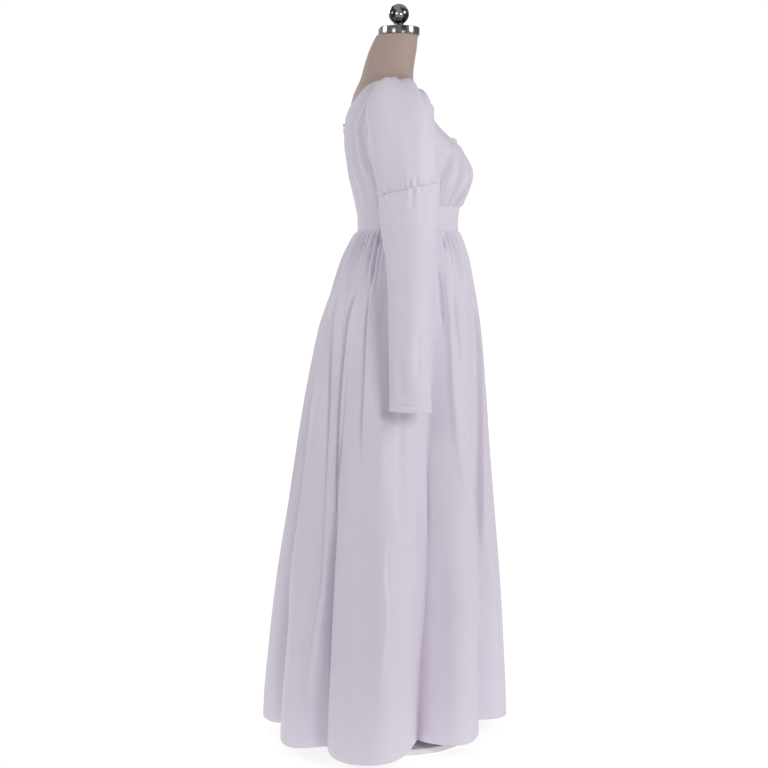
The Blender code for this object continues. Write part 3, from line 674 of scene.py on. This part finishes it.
# %% Sleeve surfaces
SLEEVE = Table("height back front inner outer", [
    (0.705, -0.0195, 0.0613, -0.2135, -0.2740),
    (0.755, -0.0200, 0.0585, -0.2050, -0.2700),
    (0.827, -0.0205, 0.0545, -0.1950, -0.2640),
    (0.900, -0.0220, 0.0605, -0.1855, -0.2620),
    (0.944, -0.0235, 0.0642, -0.1800, -0.2620),
    (0.991, -0.0265, 0.0668, -0.1745, -0.2620),
    (1.038, -0.0345, 0.0705, -0.1700, -0.2620),
    (1.100, -0.0395, 0.0745, -0.1660, -0.2620),
    (1.140, -0.0410, 0.0760, -0.1640, -0.2620),
])
CUFF = SLEEVE.knots[0]

HEAD_GATHERS = 17
HEAD_DEPTH = 0.0052
FOOT_GATHERS = 25
FOOT_DEPTH = 0.0034

# Soft dents and ridges: angle round the sleeve and share up it at each end, width, depth
LOWER_FOLDS = [
    (-0.36, 0.995, -0.36, 0.86, 0.11, -0.003), (0.1, 0.99, 0.06, 0.9, 0.1, -0.0016),
    (0.52, 0.99, 0.42, 0.84, 0.12, -0.0014), (-0.95, 0.96, -0.8, 0.6, 0.2, -0.002),
    (0.95, 0.92, 0.8, 0.55, 0.22, 0.0012), (-0.38, 0.25, -0.36, 0.06, 0.17, -0.0052),
    (-0.72, 0.22, -0.7, 0.05, 0.16, 0.0016), (0.62, 0.34, 0.52, 0.17, 0.18, -0.0034),
    (1.1, 0.4, 0.95, 0.22, 0.2, -0.0024), (0.15, 0.5, 0.1, 0.2, 0.26, 0.001),
    (-1.35, 0.5, -1.2, 0.18, 0.24, 0.0014), (2.2, 0.95, 2.5, 0.55, 0.3, -0.002),
    (-2.4, 0.8, -2.1, 0.2, 0.3, -0.002),
]
PUFF_FOLDS = [
    (-0.62, 0.55, -0.42, 0.98, 0.18, -0.0016), (-0.3, 0.14, -0.22, 0.6, 0.16, 0.001),
    (0.05, 0.62, 0.12, 1.00, 0.16, -0.0012), (0.42, 0.12, 0.45, 0.55, 0.15, 0.001),
    (0.7, 0.55, 0.62, 0.99, 0.18, -0.0016), (1.05, 0.06, 0.95, 0.45, 0.14, 0.0016),
    (-0.98, 0.1, -0.85, 0.72, 0.14, 0.0012), (1.38, 0.1, 1.25, 0.72, 0.16, -0.002),
    (-1.35, 0.1, -1.2, 0.92, 0.14, -0.0024), (2.1, 0.2, 1.9, 0.9, 0.2, -0.0022),
    (-2.1, 0.2, -1.9, 0.9, 0.2, -0.0022), (0.34, 0.03, 0.48, 0.38, 0.08, 0.005),
    (0.52, 0.03, 0.64, 0.42, 0.06, -0.0036), (0.7, 0.03, 0.8, 0.4, 0.08, 0.0052),
    (0.88, 0.03, 0.96, 0.36, 0.06, -0.0034), (1.04, 0.03, 1.08, 0.34, 0.08, 0.0044),
    (0.12, 0.03, 0.22, 0.3, 0.07, -0.0026),
]


def sleeve_ring(angle, height, slant=0.0):
    """An oval at a height, tilted from back to front. The angle is 0 outside, a quarter at the front."""
    back, front, inner, outer = SLEEVE.row(height)
    x = (front + back) / 2 + (front - back) / 2 * np.sin(angle)
    y = (inner + outer) / 2 + (outer - inner) / 2 * np.cos(angle)
    return np.stack([x, y, height + slant * (x - (front + back) / 2)], axis=-1)


def sleeve_lower(angle, share):
    """The lower sleeve. share is 0 at the cuff and 1 at the seam with the puff."""
    height = CUFF + (SEAM_HEIGHT + 0.0012 - CUFF) * share
    slant = CUFF_SLANT + (SEAM_SLANT - CUFF_SLANT) * smooth(share, [0, 0.6, 0.85, 1], [0, 0.05, 0.45, 1])
    return sleeve_ring(angle, height, slant)


def sleeve_puff(angle, share):
    """The puff without its gathers. share is 0 at the armhole and 1 at the seam."""
    x, height = armhole(angle, SEAM_GAP)
    turn = -turn_at_x(x, height)
    start = on_body(turn, height, 0 * x)
    out = normal_of(body, turn, height)
    end = sleeve_ring(angle, SEAM_HEIGHT - 0.0010 + 0 * x, SEAM_SLANT)
    top = (1 + np.cos(angle)) / 2
    front = np.clip(np.sin(angle), 0, 1) * np.clip(2 * top, 0, 1)
    leave = out * (0.045 + 0.200 * top**0.8)[..., None]
    arrive = np.stack([0.070 * front - 0.020 * np.sin(angle), 0.15 * top, -0.05 - 0.22 * top], axis=-1)
    t = share[..., None]
    path = start * (1 + 2 * t) * (1 - t) ** 2 + leave * t * (1 - t) ** 2
    path = path + end * t**2 * (3 - 2 * t) - arrive * t**2 * (1 - t)
    corner = bump(wrapped(angle) + radians(40), radians(24))
    flare = PUFF_CORNER * corner * kick(share, 0.25) * top**0.3
    away = np.stack([np.sin(angle), -0.35 * top, np.cos(angle)], axis=-1)
    return path + away * flare[..., None]


def sleeve_points(part, folds, count, stretch, seed, gathers):
    """A sleeve piece with its folds and gathers laid along the surface's normal."""
    angle, share = np.meshgrid(np.linspace(0, tau, count + 1)[:-1], stretch)
    outwards = -1.0 if part is sleeve_puff else 1.0
    place = wrapped(angle) + 0.10 * wander(share, seed, 2)
    lift = creases(place, share, folds) + gathers(angle, share, seed)
    return part(angle, share) + outwards * normal_of(part, angle, share) * lift[..., None]


def puff_gathers(angle, share, seed):
    """Gathers at the head, over the top of the arm, and smaller ones at the lower seam."""
    around = angle / tau
    top = np.clip((1.25 + np.cos(angle)) / 1.6, 0, 1)
    head_phase = tau * (HEAD_GATHERS * around + 0.45 * np.sin(tau * around * 3 + seed))
    foot_phase = tau * (FOOT_GATHERS * around + 0.60 * np.sin(tau * around * 4 + seed))
    reach = 0.060 * (1 + 0.40 * np.sin(tau * around * 5 + 2 * seed))
    head = HEAD_DEPTH * kick(share, reach) * (pleat(head_phase, 0.9) - 0.40) * top
    foot = FOOT_DEPTH * kick(1 - share, 0.024) * (pleat(foot_phase, 0.8) - 0.42)
    foot = foot * (1 + 0.4 * np.sin(tau * around * 7 + seed))
    return head + foot - 0.0009 * ramp(share, 0.984, 1.0)


def lower_gathers(angle, share, seed):
    """The lower sleeve is puckered a little by the seam, and rolls softly at the cuff."""
    around = angle / tau
    pucker = 0.0013 * kick(1 - share, 0.016) * np.cos(tau * 23 * around + seed)
    tuck = -0.0011 * ramp(share, 0.990, 0.999)
    turn_up = tuck - 0.0006 * bump(share - 0.030, 0.005) + 0.0005 * bump(share - 0.012, 0.010)
    roll = 0.0010 * bump(share, 0.05) * np.sin(tau * 3 * around + seed)
    return pucker + turn_up + roll


# %% Sleeves
def fine_ends(low, high, counts):
    """Shares from 0 to 1 in three stretches, which meet at low and high."""
    first, middle, last = counts
    return np.concatenate([np.linspace(0, low, first)[:-1], np.linspace(low, high, middle)[:-1],
                           np.linspace(high, 1, last)])


def turned_over(folds, first, last):
    """Folds of the right sleeve for the left one, moved on a little."""
    return [(first - a, b, last - c, *size) for a, b, c, *size in folds]


PUFF_COLUMNS = 260
LOWER_COLUMNS = 160
puff_shares = fine_ends(0.30, 0.86, (61, 41, 25))
lower_shares = fine_ends(0.06, 0.90, (25, 80, 25))
for side, word, seed in ((-1, "right", 1.0), (1, "left", 2.6)):
    mirror = np.array([1.0, -side, 1.0])
    folds = PUFF_FOLDS if side < 0 else turned_over(PUFF_FOLDS, 0, 0)
    points = sleeve_points(sleeve_puff, folds, PUFF_COLUMNS, puff_shares, seed, puff_gathers) * mirror
    cloth("sleeve_puff_" + word, points, (0.36, 0.25), "gathered", plain_crepe,
          closed=True, face_in=side < 0)
    folds = LOWER_FOLDS if side < 0 else turned_over(LOWER_FOLDS, 0.2, 0.1)
    points = sleeve_points(sleeve_lower, folds, LOWER_COLUMNS, lower_shares, seed, lower_gathers) * mirror
    cloth("sleeve_lower_" + word, points, (0.285, 0.43), "hung", cuffed_crepe,
          closed=True, face_in=side > 0)

# %% [markdown]
# ## Skirt
#
# The hem is a ring of swelling folds between narrow valleys. From the waistband down, each point moves
# from the waist's oval to its place on the hem: fast at first, where the gathers spring out, then evenly.
# Gathers are a wave that fades a hand's width below the band. Long creases lie along the folds.

# %% Skirt surface
FOLDS = Table("start valley_x valley_y crest_x crest_y fullness", [
    (-8, 0.166, -0.012, 0.230, 0.030, 0.60),
    (8, 0.168, 0.075, 0.134, 0.180, 0.95),
    (22, 0.060, 0.132, -0.006, 0.266, 1.05),
    (41, -0.060, 0.192, -0.134, 0.236, 1.25),
    (54, -0.150, 0.165, -0.212, 0.165, 0.95),
    (65, -0.232, 0.088, -0.287, 0.020, 0.65),
    (79, -0.240, -0.030, -0.200, -0.186, 0.50),
    (94, -0.143, -0.178, -0.064, -0.285, 0.54),
    (119, 0.038, -0.130, 0.112, -0.172, 0.80),
    (136, 0.166, -0.012, 0.230, 0.030, 0.60),
])
HEM_OVAL = (0.212, -0.268, 0.232, 2.1, -0.020)
VALLEY_ROUND = 0.110
SOLID_COLUMNS = 144
GATHERS = 52
GATHER_DEPTH = 0.0092
SKIRT = Table("height spread folds forward", [
    (0.030, 1.000, 1.00, 0.000),
    (0.069, 0.990, 1.00, 0.000),
    (0.197, 0.925, 0.99, 0.000),
    (0.325, 0.845, 0.96, 0.000),
    (0.452, 0.745, 0.92, 0.000),
    (0.578, 0.645, 0.86, 0.001),
    (0.702, 0.553, 0.72, 0.003),
    (0.826, 0.445, 0.48, 0.005),
    (0.908, 0.345, 0.28, 0.005),
    (0.990, 0.190, 0.10, 0.003),
    (1.030, 0.065, 0.02, 0.001),
    (1.048, 0.000, 0.00, 0.000),
])


def hem(share):
    """The hem from above: valley + chord * (1 - cos(pi f)) / 2 + swell * crest, for each fold."""
    starts = FOLDS.knots / SOLID_COLUMNS
    share = np.mod(np.asarray(share, float) - starts[0], 1.0) + starts[0]
    i = np.clip(np.searchsorted(starts, share, side="right") - 1, 0, len(starts) - 2)
    column = FOLDS.values
    f = (share - starts[i]) / (starts[i + 1] - starts[i])
    along = 0.5 - 0.5 * np.cos(pi * f) * (1 + 0.10 * np.sin(pi * f) ** 2)
    power = column["fullness"][i] / 2
    swell = (np.sin(pi * f) ** 2 + VALLEY_ROUND) ** power - VALLEY_ROUND**power
    swell = swell / ((1 + VALLEY_ROUND) ** power - VALLEY_ROUND**power)
    first = [column["valley_" + axis][i] for axis in "xy"]
    last = [column["valley_" + axis][i + 1] for axis in "xy"]
    crest = [column["crest_" + axis][i] for axis in "xy"]
    chord = [b - a for a, b in zip(first, last)]
    out = [c - (a + b) / 2 for a, b, c in zip(first, last, crest)]
    reach = np.hypot(*out)
    lean = (chord[0] * out[0] + chord[1] * out[1]) / reach**2
    points = []
    for k in range(2):
        base = first[k] + chord[k] * along
        ridge = crest[k] + (chord[k] - lean * out[k]) * (along - 0.5)
        points.append(base * (1 - swell) + ridge * swell)
    return points


def skirt(share, height):
    """The skirt without its gathers. share is 0 at the centre front and 0.25 at the left side."""
    turn = tau * share
    waist = on_body(turn, BAND_BOTTOM + 0 * share, OUTER + 0 * share)
    oval = section(turn, *HEM_OVAL)
    folded = hem(share)
    spread = SKIRT.read("spread", height)
    depth = SKIRT.read("folds", height)
    x = waist[..., 0] * (1 - spread) + (oval[0] + depth * (folded[0] - oval[0])) * spread
    x = x + SKIRT.read("forward", height)
    y = waist[..., 1] * (1 - spread) + (oval[1] + depth * (folded[1] - oval[1])) * spread
    return np.stack([x, y, height + 0 * x], axis=-1)


def skirt_gathers(share, height):
    """Gathers below the waistband: a wave of uneven pitch, sharp in its valleys, each of its own length."""
    phase = tau * (GATHERS * share + 0.8 * np.sin(tau * 3 * share + 0.4)
                           + 0.45 * np.sin(tau * 11 * share + 1.0))
    length = 0.050 * (1 + 0.55 * np.sin(tau * 13 * share + 2) + 0.30 * np.sin(tau * 29 * share))
    below = BAND_BOTTOM - height
    depth = GATHER_DEPTH * ramp(below, -0.006, 0.008) * np.exp(-((below / (0.040 + length)) ** 2))
    depth = depth * (1 + 0.35 * np.sin(tau * 9 * share + 0.7))
    soft = tau * (GATHERS / 2 * share + 0.5 * np.sin(tau * 4 * share + 2.2))
    long_wave = 0.0026 * bump(below - 0.11, 0.10) * (pleat(soft, 1.2) - 0.5)
    return depth * (pleat(phase, 0.8) - 0.35) + long_wave


# Share and height at each end, width as a share of the round, depth: hollows and swellings
SKIRT_FOLDS = [
    (0.737, 0.725, 0.747, 0.54, 0.012, 0.008), (0.765, 0.72, 0.776, 0.48, 0.0075, -0.006),
    (0.728, 0.5, 0.734, 0.06, 0.017, -0.01), (0.857, 0.95, 0.903, 0.5, 0.006, 0.0042),
    (0.838, 0.975, 0.849, 0.865, 0.0036, -0.006), (0.872, 0.94, 0.895, 0.76, 0.004, -0.0046),
    (0.91, 0.72, 0.938, 0.3, 0.005, -0.007), (0.8264, 0.64, 0.8264, 0.04, 0.008, 0.01),
    (0.56, 0.62, 0.556, 0.06, 0.008, -0.004), (0.69, 0.5, 0.694, 0.03, 0.013, 0.004),
    (0.79, 0.56, 0.796, 0.06, 0.011, 0.004), (0.87, 0.42, 0.876, 0.05, 0.011, -0.004),
    (0.898, 0.38, 0.905, 0.05, 0.008, 0.0034), (0.53, 0.56, 0.526, 0.05, 0.01, 0.0036),
    (0.98, 0.64, 0.984, 0.05, 0.009, -0.0044), (0.02, 0.7, 0.016, 0.08, 0.01, -0.0046),
    (0.11, 0.66, 0.104, 0.06, 0.01, -0.005), (0.085, 0.7, 0.084, 0.06, 0.009, 0.0042),
    (0.215, 0.72, 0.212, 0.04, 0.01, 0.0055), (0.24, 0.7, 0.236, 0.06, 0.01, -0.007),
    (0.31, 0.72, 0.306, 0.05, 0.011, -0.006), (0.345, 0.8, 0.34, 0.05, 0.009, 0.0046),
    (0.43, 0.78, 0.42, 0.06, 0.008, 0.004), (0.47, 0.8, 0.478, 0.06, 0.009, -0.005),
]

# Width and height, then the route down of the edge, as share and height. A fold is steep on the side of
# the lower shares, and on the other where its width is negative.
LONG_FOLDS = [
    (0.022, 0.0115, [(0.666, 0.945), (0.655, 0.904), (0.6495, 0.862), (0.6455, 0.79), (0.644, 0.71),
        (0.646, 0.62), (0.65, 0.54)]),
    (0.016, 0.0097, [(0.695, 0.96), (0.7, 0.893), (0.704, 0.835), (0.711, 0.735), (0.716, 0.64)]),
    (0.022, 0.0112, [(0.599, 0.935), (0.605, 0.861), (0.61, 0.78), (0.615, 0.7), (0.619, 0.56),
        (0.622, 0.441), (0.6235, 0.361), (0.619, 0.29), (0.615, 0.18)]),
    (0.018, 0.0094, [(0.579, 0.92), (0.566, 0.79), (0.5626, 0.694), (0.569, 0.603), (0.573, 0.51),
        (0.569, 0.42), (0.568, 0.33)]),
    (0.016, 0.0078, [(0.556, 0.85), (0.545, 0.79), (0.533, 0.71), (0.529, 0.6)]),
    (-0.02, 0.0085, [(0.806, 0.74), (0.812, 0.64), (0.817, 0.52), (0.82, 0.4), (0.821, 0.25)]),
    (-0.012, 0.0032, [(0.7555, 0.47), (0.7537, 0.4), (0.7587, 0.32), (0.7579, 0.26), (0.7545, 0.215)]),
    (-0.016, 0.0078, [(0.893, 0.64), (0.903, 0.515), (0.918, 0.4), (0.93, 0.26)]),
    (0.018, 0.0094, [(0.962, 0.93), (0.968, 0.8), (0.966, 0.64), (0.962, 0.44)]),
    (-0.018, 0.0094, [(0.04, 0.94), (0.034, 0.82), (0.04, 0.64), (0.046, 0.42), (0.044, 0.24)]),
    (-0.016, 0.0094, [(0.096, 0.93), (0.112, 0.78), (0.124, 0.62), (0.128, 0.46)]),
    (0.018, 0.0104, [(0.146, 0.95), (0.16, 0.82), (0.168, 0.66), (0.166, 0.5), (0.164, 0.3)]),
    (0.014, 0.0094, [(0.2, 0.95), (0.196, 0.86), (0.192, 0.74), (0.186, 0.6)]),
    (-0.02, 0.0112, [(0.262, 0.94), (0.27, 0.82), (0.272, 0.64), (0.266, 0.42), (0.262, 0.2)]),
    (-0.018, 0.0101, [(0.318, 0.95), (0.326, 0.84), (0.336, 0.7), (0.34, 0.52)]),
    (0.02, 0.0104, [(0.372, 0.94), (0.384, 0.8), (0.392, 0.64), (0.388, 0.44), (0.384, 0.24)]),
    (-0.016, 0.0089, [(0.41, 0.95), (0.418, 0.84), (0.428, 0.7), (0.434, 0.56)]),
    (-0.02, 0.0094, [(0.455, 0.93), (0.462, 0.79), (0.458, 0.62), (0.452, 0.4)]),
    (0.016, 0.0074, [(0.512, 0.93), (0.506, 0.8), (0.508, 0.64), (0.514, 0.46)]),
]

# Share and height at each end, width, depth: slits between gathers just under the waistband
SLITS = [
    (0.6, 1.012, 0.586, 0.968, 0.0042, -0.012), (0.622, 1.044, 0.642, 1.018, 0.0044, -0.0075),
    (0.692, 1.044, 0.699, 1.018, 0.004, -0.0075), (0.871, 1.042, 0.864, 1.01, 0.004, -0.0128),
    (0.913, 1.04, 0.907, 1.002, 0.004, -0.0128), (0.952, 1.044, 0.946, 1.012, 0.004, -0.009),
    (0.13, 1.044, 0.136, 1.006, 0.0042, -0.0128), (0.088, 1.04, 0.094, 1.004, 0.004, -0.012),
    (0.322, 1.044, 0.312, 1.014, 0.0042, -0.0083), (0.402, 1.012, 0.414, 0.97, 0.0042, -0.012),
    (0.452, 1.042, 0.446, 1.008, 0.004, -0.009), (0.545, 1.044, 0.55, 1.01, 0.004, -0.009),
]


def long_folds(u, v, rows):
    """Folds with one steep side. With s = (u - edge) / width, a fold is h exp(-1.2 s) beyond its edge,
    and before it h exp(-(4 s)^2) less a groove, 0.45 h exp(-((s + 0.36) / 0.17)^2). Both ends fade."""
    total = 0 * u
    for width, height, route in rows:
        edge, level = np.array(route[::-1]).T
        s = (u - smooth(v, level, edge)) / width
        before = np.exp(-((4 * s) ** 2)) - 0.45 * bump(s + 0.36, 0.17)
        fold = np.where(s > 0, np.exp(-1.2 * np.abs(s)), before)
        fade = ramp(v, level[0] - 0.09, level[0] + 0.06) * (1 - ramp(v, level[-1] - 0.08, level[-1] + 0.02))
        total = total + height * fold * fade
    return total


def relax(points, times):
    """Rounds a closed grid across its columns: each point moves to (a + 2b + c) / 4, over and over."""
    for _ in range(times):
        points = (np.roll(points, 1, axis=1) + 2 * points + np.roll(points, -1, axis=1)) / 4
    return points


# %% Skirt
COLUMNS = 960
# Height over the hem and distance inwards of the turned-up cloth
TURNED = [(HEM_TURNED, 0.0016), (0.012, 0.0018), (0.002, 0.0017), (0.0004, 0.0011)]
tall = np.concatenate([HEM + np.array([0.0, 0.0008, 0.003, 0.010, 0.018, 0.0225, 0.025, 0.030]),
                       np.linspace(0.068, 0.94, 72)[:-1], np.linspace(0.94, BAND_BOTTOM - SEAM_GAP, 60),
                       [BAND_BOTTOM + 0.0010, BAND_BOTTOM + 0.0025]])
heights = np.append([HEM + over for over, _ in TURNED], tall)
inset = np.append([inside for _, inside in TURNED], 0 * tall)
share, height = np.meshgrid(np.arange(COLUMNS) / COLUMNS, heights)
base = skirt(share, height)
normal = normal_of(skirt, share, height, 1e-3)
lift = creases(share, height, SKIRT_FOLDS) + creases(share, height, SLITS)
lift = lift + long_folds(share, height, LONG_FOLDS)
lift = lift + skirt_gathers(share, height)
lift = lift + 0.0018 * wander(share * 6 + height * 0.6, 77, 3) * ramp(-height, -0.85, -0.45)
lift = lift - 0.0006 * bump(height - HEM - HEM_TURNED, 0.004) * (inset[:, None] == 0)
lift = lift - 0.0014 * ramp(height, BAND_BOTTOM - 0.0005, BAND_BOTTOM + 0.0015) - inset[:, None]
points = relax(base + normal * lift[..., None], 3)
points[..., 2] = height
around = length(points - np.roll(points, 1, axis=1)).sum(axis=1)
print(f"skirt round the hem: {around[len(TURNED)]:.2f} m; at the waist: {around[-1]:.2f} m")
# Quarter turns at which each piece begins and ends, and its flat width
PARTS = {"skirt_front": (-1, 1, 1.22), "skirt_back_left": (1, 2, 0.62), "skirt_back_right": (2, 3, 0.62)}
for name, (first, last, width) in PARTS.items():
    picked = np.arange(first * COLUMNS // 4, last * COLUMNS // 4 + 1) % COLUMNS
    cloth(name, points[:, picked], (width, 1.08), "gathered", hemmed_crepe, thick=False)

# %% [markdown]
# ## Zip
#
# The zip is the hidden kind: the two edges meet over its teeth, and only the slider with its tab shows at
# the top of the centre back. A row of teeth lies in the seam down to the hip.

# %% Zip teeth
TEETH = 150
tall = np.linspace(0.93, ZIP_HEIGHT - 0.006, TEETH)
seat = on_body(np.full(TEETH, pi), np.maximum(tall, BAND_BOTTOM), np.full(TEETH, 0.0012))
low = skirt(np.full(TEETH, 0.5), np.minimum(tall, BAND_BOTTOM))
x = np.where(tall > BAND_BOTTOM, seat[:, 0], low[:, 0] + 0.0008)
angle = np.linspace(0, tau, 7)[:-1]
ring = np.stack([0 * angle, 0.0011 * np.cos(angle), 0.0006 * np.sin(angle)], -1)
centres = np.stack([x, 0.0002 * (-1.0) ** np.arange(TEETH), tall], -1)
front_ring = centres[:, None] + ring + np.array([-0.0004, 0, 0])
back_ring = centres[:, None] + ring + np.array([0.0006, 0, 0])
corners = np.concatenate([front_ring, back_ring], axis=1).reshape(-1, 3)
start = 12 * np.arange(TEETH)[:, None]
k = np.arange(6)
after = (k + 1) % 6
sides = np.stack([start + k, start + after, start + 6 + after, start + 6 + k], -1).reshape(-1, 4)
faces = sides.tolist() + (start + k[::-1]).tolist() + (start + 6 + k).tolist()
mesh = bpy.data.meshes.new("zip_teeth")
mesh.from_pydata(corners, [], faces)
mesh.update()
mesh.materials.append(zip_tape)
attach(add("zip_teeth", mesh), ROOT)
print("teeth:", TEETH)

# %% [markdown]
# ## The form's skin
#
# The cover and the chrome are smooth in the real thing, so the carried-over solids get finer twins.

# %% Form body
turn, height = np.meshgrid(np.linspace(0, tau, 181)[:-1],
                           np.append(np.linspace(0.80, 1.30, 61)[:-1], np.linspace(1.30, NECK_TOP, 60)))
stand_for(grid_mesh("form_cover_smooth", body(turn, height), closed=True), "form_body", form_cover)


def turned(node, outline, material):
    """A body turned round the pole from an outline of radius and height."""
    radius, height = np.array(outline).T[..., None]
    angle = np.linspace(0, tau, 73)[:-1]
    points = np.stack([radius * np.cos(angle), radius * np.sin(angle), height + 0 * angle], axis=-1)
    stand_for(grid_mesh(node + "_smooth", points, closed=True), node, material)


def rounded(low, high, radius, corner):
    """The outline of a disc with rounded edges, from its middle below to its middle above."""
    quarter = np.linspace(0, pi / 2, 6)
    under = [(radius - corner + corner * math.sin(a), low + corner - corner * math.cos(a)) for a in quarter]
    over = [(radius - corner + corner * math.cos(a), high - corner + corner * math.sin(a)) for a in quarter]
    return [(1e-4, low)] + under + over + [(1e-4, high)]


# %% Cap, ball and stand
BALL = 0.0205
BALL_MIDDLE = 1.4825
turned("form_cap", rounded(NECK_TOP + SEAM_GAP, 1.4555, 0.0420, 0.0016), chrome)
rise = np.linspace(0.52, pi - 0.005, 40)
ball = [(BALL * math.sin(a), BALL_MIDDLE - BALL * math.cos(a)) for a in rise]
stem = [(1e-4, 1.4558), (0.0118, 1.4558), (0.0118, 1.4580), (0.0098, 1.4592), (0.0096, 1.4622)]
turned("form_finial", stem + ball, ball_chrome)
plate = rounded(0.0, 0.014, 0.150, 0.003)[:-1] + [(0.028, 0.014), (0.0262, 0.0158)]
turned("stand_base", plate + rounded(0.017, 0.055, 0.026, 0.002)[7:], paint)

# %% [markdown]
# ## Floor, light and camera
#
# A pale studio. The floor gives off a round pool of light behind the gown, as a lit backdrop does, so the
# picture has a white ground. The key stands high in front of the gown, two weak ones light the side that
# the picture shows, and a rim light from behind draws the folds' edges. The fifth serves the far side.

# %% Studio
FLOOR = -0.0005
GLOW = 0.84
POOL_Y = 2.7
POOL_RADIUS = 2.95
POOL_EDGE = 0.55


def panel(name, corners):
    """A flat pale surface of the studio that gives off its own light, most of it in a round pool."""
    mesh = bpy.data.meshes.new(name)
    mesh.from_pydata(corners, [], [(0, 1, 2, 3)])
    look = Look(name, (0.30, 0.30, 0.30), 0.9, Emission_Strength=GLOW, Specular_IOR_Level=0.0)
    x, y = look.x_and_y(look.place())
    y = y - POOL_Y
    outside = ((x * x + y * y).math("SQRT") - POOL_RADIUS) / POOL_EDGE
    dimmed = look.tint(outside.math("SMOOTH_MIN", 1.0, 0.4), (1.0, 1.0, 1.0), (0.28, 0.28, 0.28))
    look.set("Emission Color", dimmed)
    mesh.materials.append(look.material)
    add(name, mesh)


panel("floor", [(-3, -3, FLOOR), (3, -3, FLOOR), (3, 4, FLOOR), (-3, 4, FLOOR)])
panel("backdrop", [(-2.2, 4, FLOOR), (2.2, 4, FLOOR), (2.2, 4, 2.5), (-2.2, 4, 2.5)])

scene.world = bpy.data.worlds.new("studio")
scene.world.use_nodes = True
background = scene.world.node_tree.nodes["Background"]
background.inputs["Color"].default_value = (0.985, 0.985, 0.99, 1.0)
background.inputs["Strength"].default_value = 0.33

# Place, height of the target on the gown's axis, size, power
LIGHTS = {
    "key": ((2.9, -0.9, 2.3), 1.2, 1.3, 28.0),
    "front": ((0.80, -1.75, 1.25), 1.0, 0.5, 9.5),
    "side": ((-0.95, -1.80, 1.50), 1.1, 0.5, 4.2),
    "rim": ((-2.7, -0.3, 2.1), 1.2, 0.8, 20.0),
    "behind": ((-1.6, 3.0, 2.6), 1.2, 1.0, 22.0),
}
for name, (place, target, size, power) in LIGHTS.items():
    data = bpy.data.lights.new(name, "AREA")
    data.size = size
    data.energy = power
    light = add(name, data)
    light.location = place
    light.rotation_euler = (Vector((0, 0, target)) - Vector(place)).to_track_quat("-Z", "Y").to_euler()

lens = bpy.data.cameras.new("camera")
lens.lens = 68.6
camera = add("camera", lens)
camera.location = (-0.030, -3.0, 1.01)
camera.rotation_euler = (radians(90 - 5.23), 0.0, 0.0)
scene.camera = camera

scene.view_settings.view_transform = "Standard"
